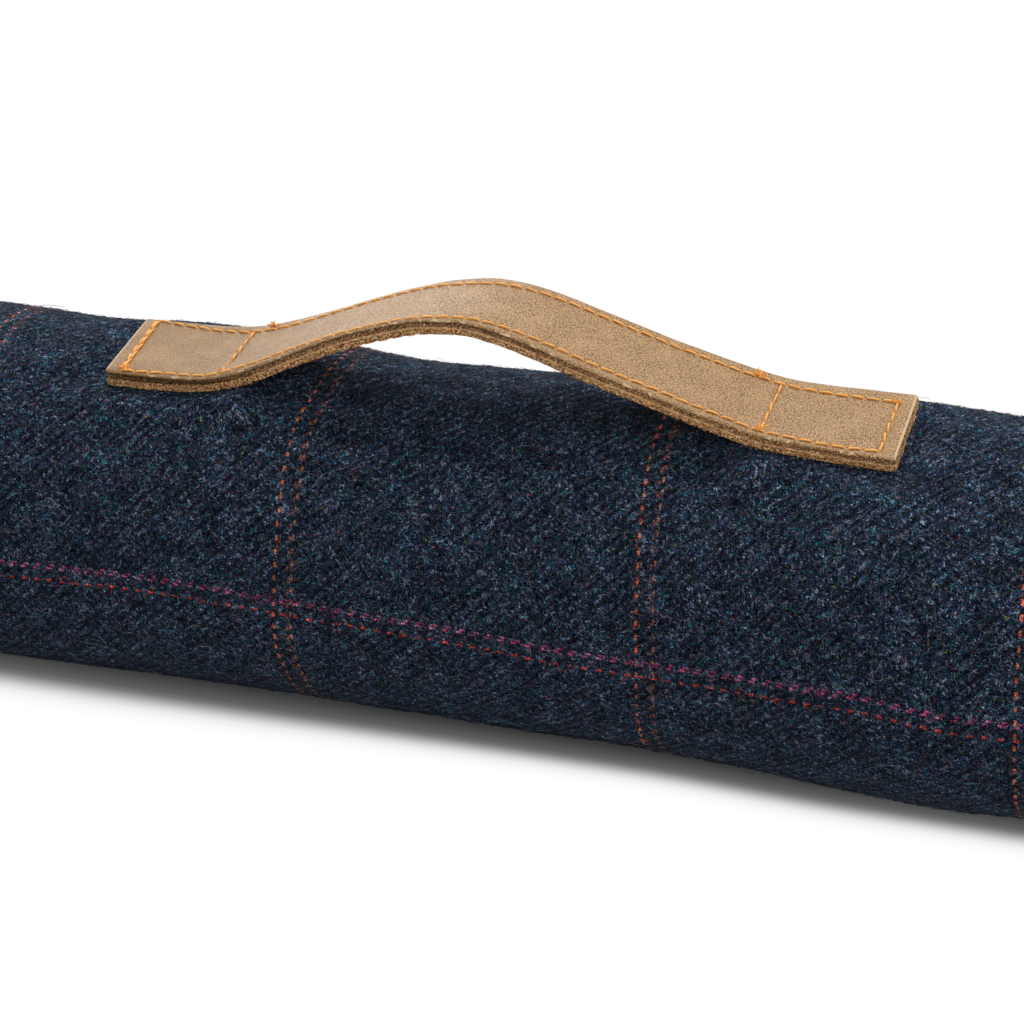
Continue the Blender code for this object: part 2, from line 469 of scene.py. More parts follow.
    def lit(self, colour: Socket, shade: Socket) -> Socket:
        """Make a colour lighter or darker.

        Args:
            colour: Output to change.
            shade: Factor on it.

        Returns:
            The changed colour's output.
        """
        node = self.add("ShaderNodeVectorMath", colour, operation="SCALE")
        self.feed(node.inputs["Scale"], shade)
        return node.outputs[0]

    def paint(self, colour: Socket) -> None:
        """Give the surface its colour."""
        self.feed(self.shader.inputs["Base Color"], colour)

    def relief(self, height: Socket) -> None:
        """Raise the surface's shading.

        Args:
            height: Output that holds the height in metres.
        """
        bump = self.add("ShaderNodeBump")
        for name, value in (("Strength", 1.0), ("Distance", 1.0), ("Height", height)):
            self.feed(bump.inputs[name], value)
        self.feed(self.shader.inputs["Normal"], bump.outputs[0])

    def set(self, **values: Any) -> None:
        """Set the shader's own inputs.

        Args:
            values: Value of each input, named with underscores for spaces.
        """
        for name, value in values.items():
            label = name.replace("_", " ").title().replace("Ior", "IOR")
            self.shader.inputs[label].default_value = value


class Yarn(NamedTuple):
    """One coloured yarn of the overcheck, counted from the start of a repeat."""

    index: int
    colour: Colour
    second: Colour
    cover: float


class Strand(NamedTuple):
    """One colour of curly fibre in the cloth's felted face."""

    layer: int
    colour: Colour
    breadth: float
    mask: int
    start: float
    end: float


@dataclass(frozen=True)
class TweedFinish:
    """Milled wool twill in a dark heather blue with a thin orange and mauve overcheck."""

    name: str
    overcheck: bool = True
    yarn_along: float = 1.0 * MM
    yarn_round: float = 0.99 * MM
    repeat_along: int = 105
    repeat_round: int = 112
    first_ring: float = -55.2 * MM
    ground: Colour = (0.0015, 0.0022, 0.0035)
    strands: tuple[Strand, ...] = (
        Strand(9, (0.005, 0.007, 0.016), 0.20, 0, 0.20, 0.30),
        Strand(10, (0.013, 0.017, 0.034), 0.12, 1, 0.40, 0.50),
        Strand(6, (0.018, 0.022, 0.042), 0.10, 2, 0.42, 0.50),
        Strand(7, (0.006, 0.032, 0.048), 0.09, 3, 0.48, 0.56),
        Strand(3, (0.028, 0.028, 0.050), 0.08, 4, 0.44, 0.52),
        Strand(4, (0.014, 0.022, 0.070), 0.08, 5, 0.50, 0.58),
        Strand(8, (0.010, 0.034, 0.030), 0.07, 0, 0.54, 0.62),
        Strand(0, (0.012, 0.080, 0.115), 0.07, 1, 0.55, 0.62),
        Strand(5, (0.056, 0.052, 0.076), 0.07, 2, 0.54, 0.62),
        Strand(11, (0.036, 0.034, 0.022), 0.08, 3, 0.42, 0.36),
        Strand(1, (0.078, 0.104, 0.150), 0.070, 4, 0.50, 0.58),
        Strand(2, (0.125, 0.175, 0.240), 0.05, 5, 0.44, 0.38),
    )
    curl_scales: tuple[float, ...] = (500, 620, 780, 1000)
    mask_scales: tuple[float, ...] = (640, 860)
    swirl_scale: float = 850
    swirl_reach: float = 0.9 * MM
    specks: tuple[Colour, ...] = (
        (0.240, 0.030, 0.035), (0.090, 0.095, 0.030), (0.035, 0.180, 0.250),
    )
    speck_scale: float = 1000
    speck_start: float = 0.80
    speck_end: float = 0.84
    yarns_floated: float = 2.0
    wander: tuple[tuple[float, float, float], ...] = ((90, 2.0, 0.9 * MM), (1500, 1.0, 0.75 * MM))
    # Painted shade in the twill's rib valleys and painted light on the rib tops.
    rib_valley_painted_shade: Patches = Patches(60, 1.0, 0.35, 0.65, 0.82, 0.42)
    rib_top_painted_light: float = 1.25
    cloud: Patches = Patches(140, 2.0, 0.3, 0.7, 0.64, 1.24)
    grit: Patches = Patches(2500, 0.0, 0.34, 0.66, 0.32, 1.70)
    veil: Patches = Patches(1900, 1.0, 0.36, 0.52, 0.15, 1.0)
    yarn_relief: float = 0.08 * MM
    rib_relief: float = 0.12 * MM
    fibre_relief: float = 0.10 * MM
    ring_yarns: tuple[Yarn, ...] = (
        Yarn(0, (0.66, 0.110, 0.040), (0.60, 0.20, 0.09), 0.88),
        Yarn(4, (0.26, 0.060, 0.032), (0.32, 0.11, 0.07), 0.50),
        Yarn(5, (0.44, 0.150, 0.045), (0.40, 0.18, 0.11), 0.55),
    )
    long_yarns: tuple[Yarn, ...] = (
        Yarn(0, (0.50, 0.070, 0.170), (0.62, 0.24, 0.38), 0.92),
        Yarn(111, (0.38, 0.060, 0.180), (0.48, 0.17, 0.30), 0.85),
        Yarn(4, (0.66, 0.075, 0.050), (0.50, 0.05, 0.05), 0.92),
    )

    def yarn_places(self, flats: np.ndarray) -> tuple[np.ndarray, np.ndarray]:
        """Places along and round the roll, counted in yarns."""
        along = (flats[:, 0] - self.first_ring) / self.yarn_along
        return along, flats[:, 1] / self.yarn_round

    def stripe(self, nodes: Nodes, place: Socket, repeat: int, yarn: Yarn) -> Socket:
        """1 on one yarn of every repeat and 0 elsewhere."""
        within = nodes.math("FLOORED_MODULO", place, float(repeat))
        return nodes.rise(nodes.apart(within, yarn.index + 0.5), 0.52, 0.30)

    def heather(self, nodes: Nodes, flat: Socket) -> tuple[Socket, Socket]:
        """Make the felted cover of mixed fibres: fine curls of many colours on near-black.

        Args:
            nodes: The material's nodes.
            flat: Place on the flat cloth, in metres.

        Returns:
            The cover's colour, and how much fibre lies at each place.
        """
        swirl = nodes.noise(flat, self.swirl_scale).outputs["Color"]
        bent = nodes.shift(flat, swirl, self.swirl_reach)
        curls: list[Socket] = []
        for scale in self.curl_scales:
            curls += nodes.split(nodes.noise(bent, scale, 0.0).outputs["Color"])
        masks: list[Socket] = []
        for scale in self.mask_scales:
            masks += nodes.split(nodes.noise(flat, scale).outputs["Color"])
        colour: Any = self.ground
        amount: Any = 0.0
        for strand in self.strands:
            off_line = nodes.apart(curls[strand.layer], 0.5)
            line = nodes.rise(off_line, strand.breadth, strand.breadth * 0.25)
            share = nodes.product(line, nodes.rise(masks[strand.mask], strand.start, strand.end))
            colour = nodes.blend(share, colour, strand.colour)
            proud = 2 * sum(strand.colour)
            amount = nodes.math("MAXIMUM", amount, nodes.product(share, proud))
        rare = nodes.split(nodes.noise(bent, self.speck_scale, 0.0).outputs["Color"])
        for channel, speck in zip(rare, self.specks):
            colour = nodes.blend(nodes.rise(channel, self.speck_start, self.speck_end), colour, speck)
        return colour, amount

    def make(self) -> bpy.types.Material:
        """Build the material on the cloth's own flat places, with painted shade in the rib valleys and
        between the yarn floats, and painted light on the rib tops.

        Returns:
            The finished material.
        """
        nodes = Nodes(self.name)
        flat = nodes.flat_place("cloth")
        woven = flat
        for scale, detail, reach in self.wander:
            woven = nodes.shift(woven, nodes.noise(flat, scale, detail).outputs["Color"], reach)
        u, v, _ = nodes.split(woven)
        along = nodes.math("DIVIDE", nodes.math("SUBTRACT", u, self.first_ring), self.yarn_along)
        round_it = nodes.math("DIVIDE", v, self.yarn_round)
        column, row = (nodes.math("FLOOR", place) for place in (along, round_it))
        across_ring, across_long = (nodes.math("FRACT", place) for place in (along, round_it))
        over = self.yarns_floated
        phase = nodes.math("FLOORED_MODULO", nodes.total(column, row), 2 * over)
        ring_up = nodes.math("LESS_THAN", phase, over - 0.5)
        ring_run = nodes.product(nodes.total(phase, across_long), 1 / over)
        long_phase = nodes.math("SUBTRACT", phase, over)
        long_run = nodes.product(nodes.total(long_phase, across_ring), 1 / over)
        ring_height = nodes.product(self.crown(nodes, across_ring, ring_run), ring_up)
        long_up = nodes.math("SUBTRACT", 1.0, ring_up)
        long_height = nodes.product(self.crown(nodes, across_long, long_run), long_up)
        height = nodes.total(ring_height, long_height)
        wave = nodes.product(nodes.total(along, round_it), math.pi / (2 * over))
        rib = nodes.math("ABSOLUTE", nodes.math("SINE", wave))

        colour, amount = self.heather(nodes, flat)
        tints = nodes.split(nodes.chance(nodes.join(column, row)))
        # Painted shade and light: darker in the rib valleys and between the yarn floats, lighter on the
        # rib tops; the other factors are random tone.
        valley_painted_shade = nodes.patches(flat, self.rib_valley_painted_shade)
        rib_painted_light = nodes.product(nodes.math("SUBTRACT", self.rib_top_painted_light, valley_painted_shade), rib)
        shade = nodes.product(
            nodes.total(valley_painted_shade, rib_painted_light),
            # Painted shade where the yarn floats dip.
            nodes.rise(height, 0.0, 0.8, 0.75, 1.10),
            nodes.rise(tints[0], 0, 1, 0.78, 1.25),
            nodes.patches(flat, self.cloud),
            nodes.patches(flat, self.grit),
        )
        if self.overcheck:
            heights = (ring_height, long_height)
            colour = self.add_overcheck(nodes, colour, tints, (along, round_it), heights)
        nodes.paint(nodes.lit(colour, shade))
        nodes.relief(nodes.total(
            nodes.product(height, self.yarn_relief),
            nodes.product(rib, self.rib_relief),
            nodes.product(amount, self.fibre_relief),
        ))
        nodes.set(roughness=0.95, sheen_weight=0.03, sheen_roughness=0.30)
        nodes.set(sheen_tint=(0.62, 0.74, 1.0, 1), specular_ior_level=0.04)
        return nodes.material

    def crown(self, nodes: Nodes, across: Socket, run: Socket) -> Socket:
        """Find the rounded height of a yarn where it floats on top.

        Args:
            nodes: The material's nodes.
            across: Place across the yarn, from 0 to 1.
            run: Place along the float, from 0 to 1.

        Returns:
            Height from 0 to 1.
        """
        rounded = nodes.math("SINE", nodes.math("MULTIPLY", across, math.pi))
        arched = nodes.math("SINE", nodes.math("MULTIPLY", run, math.pi))
        return nodes.math("SQRT", nodes.math("ABSOLUTE", nodes.product(rounded, arched)))

    def add_overcheck(
        self,
        nodes: Nodes,
        colour: Socket,
        tints: Sequence[Socket],
        places: tuple[Socket, Socket],
        heights: tuple[Socket, Socket],
    ) -> Socket:
        """Colour the yarns of the overcheck where they lie on top.

        Args:
            nodes: The material's nodes.
            colour: The ground's colour.
            tints: Three random values for each crossing of yarns.
            places: Place along and round the roll, counted in yarns.
            heights: How high the ring yarn and the long yarn stand at each place.

        Returns:
            The colour with the overcheck in it.
        """
        _, uneven, hue = tints
        unveiled = nodes.patches(nodes.flat_place("cloth"), self.veil)
        bare = nodes.product(unveiled, nodes.rise(uneven, 0.0, 0.5, 0.35, 1.0))
        for place, repeat, yarns, height in (
            (places[1], self.repeat_round, self.long_yarns, heights[1]),
            (places[0], self.repeat_along, self.ring_yarns, heights[0]),
        ):
            on_top = nodes.rise(height, 0.25, 0.60)
            for yarn in yarns:
                share = nodes.product(self.stripe(nodes, place, repeat, yarn), on_top, bare, yarn.cover)
                mixed = nodes.blend(nodes.rise(hue, 0.45, 0.9), yarn.colour, yarn.second)
                colour = nodes.blend(share, colour, mixed)
        return colour


class Face(Enum):
    """Which face of the leather a finish is for."""

    GRAIN = "grain"
    EDGE = "edge"
    FLESH = "flesh"


@dataclass(frozen=True)
class LeatherFinish:
    """Vegetable-tanned leather: pebbled grain, raw cut edge or fibrous flesh side."""

    name: str
    face: Face
    base: Colour
    dark: Colour
    light: Colour
    roughness: float
    smooth: Colour = (0.285, 0.166, 0.074)
    worn: Colour = (0.72, 0.52, 0.32)
    middle: float = 0.55 * MM
    cut_start: float = 115.1 * MM
    smooth_end: float = -88 * MM
    grained_start: float = -40 * MM
    pebble_scale: float = 2100
    fine_scale: float = 2300
    cloud_scale: float = 110
    chips: Patches = Patches(420, 2.0, 0.54, 0.66)
    strand_scales: Colour = (900, 2600, 1)
    pit_scale: float = 1700
    grain_bend: float = 0.7 * MM
    strand_bend: float = 1.1 * MM
    rubbed_rim: tuple[float, float] = (14.2 * MM, 14.9 * MM)
    grain_cut: tuple[float, float] = (115.5 * MM, 0.8)
    raw_cut: tuple[float, float] = (115.6 * MM, 0.6)
    pebble_depth: float = 0.10 * MM
    fine_depth: float = 0.040 * MM
    cloud_depth: float = 0.12 * MM
    strand_depth: float = 0.30 * MM
    pit_depth: float = 0.22 * MM
    # Band of painted shade on the cut edge, just under the rounded rim.
    under_rim: tuple[float, float] = (15.1 * MM, 15.4 * MM)
    under_rim_shade_foot: tuple[float, float] = (16.6 * MM, 16.2 * MM)
    # Painted shade on the cut edge: full left of the middle, fading out by 60 mm to the right.
    shaded_run: tuple[float, float] = (60 * MM, 0.0)
    joint_top: tuple[float, float] = (14.7 * MM, 15.0 * MM)
    joint_foot: tuple[float, float] = (15.7 * MM, 15.3 * MM)
    joint_run: tuple[float, float] = (-72 * MM, -58 * MM)

    def make(self) -> bpy.types.Material:
        """Build the material for its face."""
        return self.grain() if self.face is Face.GRAIN else self.fibrous()

    def cut_end(self, nodes: Nodes, place: Socket, end: float, share: float) -> Socket:
        """Rise to a share at both cut ends of the strip."""
        return nodes.rise(nodes.apart(place, self.middle), self.cut_start, end, 0, share)

    def grain(self) -> bpy.types.Material:
        """Build the pebbled grain side.

        Returns:
            The finished material.
        """
        nodes = Nodes(self.name)
        flat = nodes.flat_place("leather")
        place, across, _ = nodes.split(flat)
        swirl = nodes.noise(flat, 700).outputs["Color"]
        cells = nodes.add("ShaderNodeTexVoronoi", nodes.shift(flat, swirl, self.grain_bend))
        cells.inputs["Scale"].default_value = self.pebble_scale
        pebbles = nodes.rise(cells.outputs["Distance"], 0.70, 0.12)
        cloud = nodes.noise(flat, self.cloud_scale, 3.0, 0.6).outputs[0]
        fine = nodes.noise(flat, self.fine_scale).outputs[0]
        grained = nodes.rise(place, self.smooth_end, self.grained_start, 0.35, 1.0)
        valleys = nodes.product(nodes.rise(pebbles, 0.45, 0.06), grained)
        rougher = nodes.rise(place, self.smooth_end, self.grained_start)
        base = nodes.blend(rougher, self.smooth, self.base)
        colour = nodes.blend(valleys, base, self.dark)
        flecks = nodes.product(nodes.rise(fine, 0.50, 0.62, 0, 0.75), grained)
        colour = nodes.blend(flecks, colour, self.light)
        colour = nodes.blend(nodes.rise(cloud, 0.40, 0.75, 0, 0.22), colour, self.light)
        at_rim = nodes.rise(nodes.math("ABSOLUTE", across), *self.rubbed_rim)
        rubbed = nodes.product(at_rim, nodes.patches(flat, self.chips))
        at_end = self.cut_end(nodes, place, *self.grain_cut)
        colour = nodes.blend(nodes.math("MAXIMUM", rubbed, at_end), colour, self.worn)
        nodes.paint(colour)
        nodes.relief(nodes.total(
            nodes.product(pebbles, self.pebble_depth),
            nodes.product(fine, self.fine_depth),
            nodes.product(cloud, self.cloud_depth),
        ))
        rough = nodes.rise(pebbles, 0.1, 0.8, self.roughness + 0.12, self.roughness - 0.06)
        nodes.feed(nodes.shader.inputs["Roughness"], rough)
        nodes.set(specular_ior_level=0.33)
        return nodes.material

    def fibrous(self) -> bpy.types.Material:
        """Build the raw edge, with painted shade under its rim and towards the middle of the arch, or
        the flesh side.

        Returns:
            The finished material.
        """
        nodes = Nodes(self.name)
        flat = nodes.flat_place("leather")
        place, across, _ = nodes.split(flat)
        swirl = nodes.noise(flat, 900).outputs["Color"]
        bent = nodes.shift(flat, swirl, self.strand_bend)
        strands = nodes.noise(nodes.stretch(bent, self.strand_scales), 1.0, 2.0, 0.65).outputs[0]
        pits = nodes.noise(flat, self.pit_scale, 2.0, 0.6).outputs[0]
        base = nodes.blend(self.cut_end(nodes, place, *self.raw_cut), self.base, self.light)
        colour = nodes.blend(nodes.rise(strands, 0.45, 0.53), self.dark, base)
        colour = nodes.blend(nodes.rise(pits, 0.54, 0.61), colour, self.light)
        run = nodes.math("ABSOLUTE", across)
        if self.face is Face.EDGE:
            # Painted shade: a dark band on the edge just under the rim.
            under_rim = nodes.rise(run, *self.under_rim)
            shade_foot = nodes.rise(run, *self.under_rim_shade_foot)
            colour = nodes.blend(nodes.product(under_rim, shade_foot, 0.35), colour, self.dark)
            # Painted shade on the cut edge, full left of the middle and fading out to the right.
            shaded = nodes.rise(place, *self.shaded_run, 0, 0.40)
            colour = nodes.blend(shaded, colour, self.dark)
        else:
            at_joint = nodes.product(
                nodes.rise(run, *self.joint_top), nodes.rise(run, *self.joint_foot),
                nodes.rise(place, *self.joint_run, 0, 0.8),
            )
            colour = nodes.blend(at_joint, colour, self.light)
        nodes.paint(colour)
        nodes.relief(nodes.total(
            nodes.product(strands, self.strand_depth), nodes.product(pits, self.pit_depth)
        ))
        nodes.set(roughness=self.roughness, specular_ior_level=0.15)
        return nodes.material


@dataclass(frozen=True)
class ThreadFinish:
    """Orange twisted sewing thread."""

    name: str = "orange_thread"
    ridge: Colour = (1.0, 0.44, 0.060)
    # Painted shade colour for the grooves of the twist.
    valley_painted_shade: Colour = (1.0, 0.34, 0.030)
    fuzz: Colour = (1.0, 0.55, 0.16)
    twist_length: float = 1.25 * MM
    twist_depth: float = 0.10 * MM
    fuzz_depth: float = 0.05 * MM

    def make(self) -> bpy.types.Material:
        """Build the material, its twist slanting round the thread and painted shade darkening the
        twist's grooves.

        Returns:
            The finished material.
        """
        nodes = Nodes(self.name)
        along, round_it, _ = nodes.split(nodes.flat_place("thread"))
        turn = nodes.total(nodes.product(along, 2 * math.pi / self.twist_length), round_it)
        twist = nodes.math("ABSOLUTE", nodes.math("SINE", turn))
        fuzz = nodes.noise(nodes.flat_place("thread"), 2600, 2.0).outputs[0]
        # Painted shade: the thread is darker in the grooves of its twist.
        colour = nodes.blend(nodes.rise(twist, 0.05, 0.75), self.valley_painted_shade, self.ridge)
        nodes.paint(nodes.blend(nodes.rise(fuzz, 0.6, 0.75, 0, 0.5), colour, self.fuzz))
        nodes.relief(nodes.total(
            nodes.product(twist, self.twist_depth), nodes.product(fuzz, self.fuzz_depth)
        ))
        nodes.set(roughness=0.40, sheen_weight=0.6, sheen_roughness=0.4, specular_ior_level=0.8)
        nodes.set(sheen_tint=(1.0, 0.55, 0.12, 1))
        return nodes.material


@dataclass(frozen=True)
class FibreFinish:
    """Loose fibres, each in the colour that its mesh holds for it."""

    name: str
    roughness: float = 0.8
    unevenness: Patches = Patches(1800, 1.0, 0.3, 0.7, 0.7, 1.25)

    def make(self) -> bpy.types.Material:
        """Build the material from the fibres' own colours, a little uneven along each.

        Returns:
            The finished material.
        """
        nodes = Nodes(self.name)
        tint = nodes.add("ShaderNodeVertexColor", layer_name="fibre").outputs[0]
        place = nodes.add("ShaderNodeTexCoord").outputs["Object"]
        nodes.paint(nodes.lit(tint, nodes.patches(place, self.unevenness)))
        nodes.set(roughness=self.roughness, specular_ior_level=0.3, sheen_weight=0.1)
        return nodes.material


def grid_of_strips(count: int, stations: int, columns: int) -> bmesh.types.BMesh:
    """Make many equal flat strips at once from one grid.

    Args:
        count: How many strips there are.
        stations: Rows of points in each strip.
        columns: Faces across each strip.

    Returns:
        The strips; x is the column and y the row, both as whole numbers.
    """
    rows = count * stations
    surface = bmesh.new()
    bmesh.ops.create_grid(surface, x_segments=columns, y_segments=rows - 1, size=0.5)
    bmesh.ops.translate(surface, verts=surface.verts, vec=(0.5, 0.5, 0))
    bmesh.ops.scale(surface, verts=surface.verts, vec=(columns, rows - 1, 1))
    between = [
        face for face in surface.faces
        if int(face.calc_center_median().y) % stations == stations - 1
    ]
    bmesh.ops.delete(surface, geom=between, context="FACES")
    return surface


def closed_tubes(points: np.ndarray, flats: np.ndarray, layer_name: str) -> bmesh.types.BMesh:
    """Make tubes from grids whose columns wrap round and meet.

    Args:
        points: Place of each grid point, by tube, ring and column.
        flats: Place of each grid point on the flat piece, with one column more for the meeting.
        layer_name: Name of the UV map that keeps the flat places.

    Returns:
        The tubes, closed at both ends, with their faces pointing out.
    """
    count, rings, columns = points.shape[:3]
    surface = grid_of_strips(count, rings, columns)
    layer = surface.loops.layers.uv.new(layer_name)
    surface.verts.index_update()
    spots = [(0.0, 0.0)] * len(surface.verts)
    for vert in surface.verts:
        column = round(vert.co.x)
        tube, ring = divmod(round(vert.co.y), rings)
        spots[vert.index] = tuple(flats[tube, ring, column])
        vert.co = points[tube, ring, column % columns]
    for face in surface.faces:
        for loop in face.loops:
            loop[layer].uv = spots[loop.vert.index]
    bmesh.ops.remove_doubles(surface, verts=surface.verts, dist=WELD)
    bmesh.ops.holes_fill(surface, edges=surface.edges, sides=0)
    bmesh.ops.recalc_face_normals(surface, faces=surface.faces)
    return surface


def new_piece(
    name: str,
    surface: bmesh.types.BMesh,
    materials: Sequence[bpy.types.Material],
) -> bpy.types.Object:
    """Make an object that rides on the body, smooth-shaded all but the caps of its ends.

    Args:
        name: The piece's name.
        surface: Its surface; it is freed.
        materials: Its materials, in the order of the faces' indexes.

    Returns:
        The new object.
    """
    mesh = bpy.data.meshes.new(name)
    surface.to_mesh(mesh)
    surface.free()
    mesh.shade_smooth()
    for polygon in mesh.polygons:
        polygon.use_smooth = polygon.loop_total < FLAT_FACE_CORNERS
    return show_mesh(name, mesh, materials)


def show_mesh(
    name: str,
    mesh: bpy.types.Mesh,
    materials: Sequence[bpy.types.Material],
) -> bpy.types.Object:
    """Put a mesh in the scene as a piece that rides on the body.

    Args:
        name: The piece's name.
        mesh: Its mesh, in place.
        materials: Its materials.

    Returns:
        The new object.
    """
    for material in materials:
        mesh.materials.append(material)
    piece = bpy.data.objects.new(name, mesh)
    bpy.context.scene.collection.objects.link(piece)
    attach(piece, "root")
    log.info("%s: %d faces", name, len(mesh.polygons))
    return piece


@dataclass(frozen=True)
class Ripples:
    """Uneven puckers all round a rim: a fast wave that wanders, and a slow one."""

    waves: int
    wander: float
    wander_waves: int
    slow_share: float
    slow_waves: int
    slow_start: float = 0.0

    def at(self, angle: np.ndarray) -> np.ndarray:
        """Height of the puckers at each angle, as a share of the fast wave's."""
        fast = np.sin(angle * self.waves + self.wander * np.sin(angle * self.wander_waves))
        return fast + self.slow_share * np.sin(angle * self.slow_waves + self.slow_start)


@dataclass
class TweedRoll:
    """The filled body: one length of tweed sewn into a tube, with softly rounded shoulders."""

    form: RollForm
    finish: TweedFinish
    step: float = 2.0 * MM
    columns: int = 168
    seam_angle: float = -60 * DEGREE
    seam_depth: float = 0.9 * MM
    seam_width: float = 2.2 * MM
    shoulder_rings: int = 6
    dome_rings: int = 5
    coarse_swell: float = 0.55 * MM
    coarse_lump: float = 26 * MM
    fine_swell: float = 0.16 * MM
    fine_lump: float = 7 * MM
    ripples: Ripples = Ripples(
        waves=41, wander=1.3, wander_waves=5, slow_share=0.5, slow_waves=23, slow_start=1.0,
    )
    pucker_height: float = 0.35 * MM
    pucker_reach: float = 8 * MM
    floor_softness: float = 0.8 * MM
    pattern_radius: float = 53 * MM
    line_angle: Curve = Curve((
        (-450, 182.5), (-135, 182.5), (-100, 182), (-45, 183), (-10, 184), (15, 185), (42, 186.5),
        (75, 186), (105, 185), (116, 184.5), (145, 186.5), (450, 185.5),
    ), unit=DEGREE)
    ring_places: tuple[float, ...] = (-450 * MM, -54.7 * MM, 50.3 * MM, 155.3 * MM, 450 * MM)
    ring_bows: tuple[Curve, ...] = (
        Curve(((110, 1), (125, -0.3), (150, 0.7), (172, 1), (200, -0.5), (212, 0)), place_unit=DEGREE),
        Curve(((110, -2), (135, -0.5), (152, 1), (168, 2), (190, 2.5), (218, 1)), place_unit=DEGREE),
        Curve(((120, -1), (140, 0), (165, 1), (185, 1.7), (218, 2)), place_unit=DEGREE),
    )

    def rows(self) -> tuple[np.ndarray, np.ndarray, np.ndarray]:
        """Lay out the rings from the middle of the left end to the middle of the right one.

        Returns:
            Each ring's place, how much of the roll's radius it keeps, and its flat place.
        """
        form = self.form
        body = np.linspace(-form.body_end, form.body_end, round(2 * form.body_end / self.step) + 1)
        turn = np.linspace(0, math.pi / 2, self.shoulder_rings + 1)[1:]
        edge_radius = form.radius.at(np.array([form.body_end]))[0]
        shoulder = form.body_end + form.shoulder * np.sin(turn)
        share = (form.rim_radius + (edge_radius - form.rim_radius) * np.cos(turn)) / edge_radius
        inner = np.linspace(1, 0, self.dome_rings + 1)[1:]
        dome = form.rim_place + form.fill_crown * (1 - inner ** 2)
        place = np.concatenate((shoulder, dome))
        kept = np.concatenate((share, inner * form.rim_radius / edge_radius))
        run = np.cumsum(np.hypot(
            np.diff(place, prepend=form.body_end), np.diff(kept * edge_radius, prepend=edge_radius)
        ))
        places = np.concatenate((-place[::-1], body, place))
        shares = np.concatenate((kept[::-1], np.ones(len(body)), kept))
        flats = np.concatenate((-form.body_end - run[::-1], body, form.body_end + run))
        return places, shares, flats

    def points(self) -> tuple[np.ndarray, np.ndarray]:
        """Place the cloth.

        Returns:
            The grid's points, and each point's place on the flat cloth.
        """
        form = self.form
        place, share, flat = (row[:, None] for row in self.rows())
        angle = self.seam_angle + 2 * math.pi * np.arange(self.columns + 1) / self.columns
        radius = form.radius.at(np.clip(place, -form.body_end, form.body_end)) * share
        back, height = form.middle(place)
        outward = together(0 * place, np.cos(angle), np.sin(angle))
        sound = together(place, radius * np.cos(angle), radius * np.sin(angle))
        y = back + radius * np.cos(angle)
        drawn = form.drawn_share(place, y) * (np.sin(angle) > 0)
        swell = self.coarse_swell * lumps(sound * (1, 0.8, 0.8), self.coarse_lump)
        swell = swell + self.fine_swell * lumps(sound, self.fine_lump, 3.0)
        seam_gap = radius * np.minimum(angle - self.seam_angle, self.seam_angle + 2 * math.pi - angle)
        swell = swell - self.seam_depth * np.exp(-(seam_gap / self.seam_width) ** 2)
        swell = swell + self.puckers(place, angle)
        swell = swell * ease(share, 0.9, 0.97) * (1 - drawn)
        sound = sound + outward * swell[..., None]
        y = back + sound[..., 1]
        z = height + sound[..., 2]
        z = np.where(drawn > 0, z + (form.handle.seat(place, y - form.handle.sway) - z) * drawn, z)
        z = (z + np.sqrt(z * z + self.floor_softness ** 2)) / 2
        u = flat
        for number, bow in enumerate(self.ring_bows):
            here = np.eye(len(self.ring_places))[number + 1]
            u = u - np.interp(place, self.ring_places, here) * bow.at(angle)
        v = self.pattern_radius * (angle - self.line_angle.at(place))
        return together(place, y, z)[:, :-1], together(u, v)

    def puckers(self, place: np.ndarray, angle: np.ndarray) -> np.ndarray:
        """Find how far the cloth puckers where the end panels are sewn in.

        Args:
            place: Places along the roll.
            angle: Angles round it.

        Returns:
            Height of the puckers.
        """
        rim = self.form.rim_place
        near_rim = ease(np.abs(place), self.form.body_end - self.pucker_reach, rim)
        return self.pucker_height * self.ripples.at(angle) * near_rim

    def build(self) -> bpy.types.Object:
        """Build the roll in place of its CAD node.

        Returns:
            The dressed roll.
        """
        points, flat = self.points()
        surface = closed_tubes(points[None], flat[None], "cloth")
        roll = new_piece("tweed_roll", surface, [self.finish.make()])
        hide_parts("roll")
        return roll


class Side(Enum):
    """End of the roll, as the direction that it faces along X."""

    LEFT = -1
    RIGHT = 1


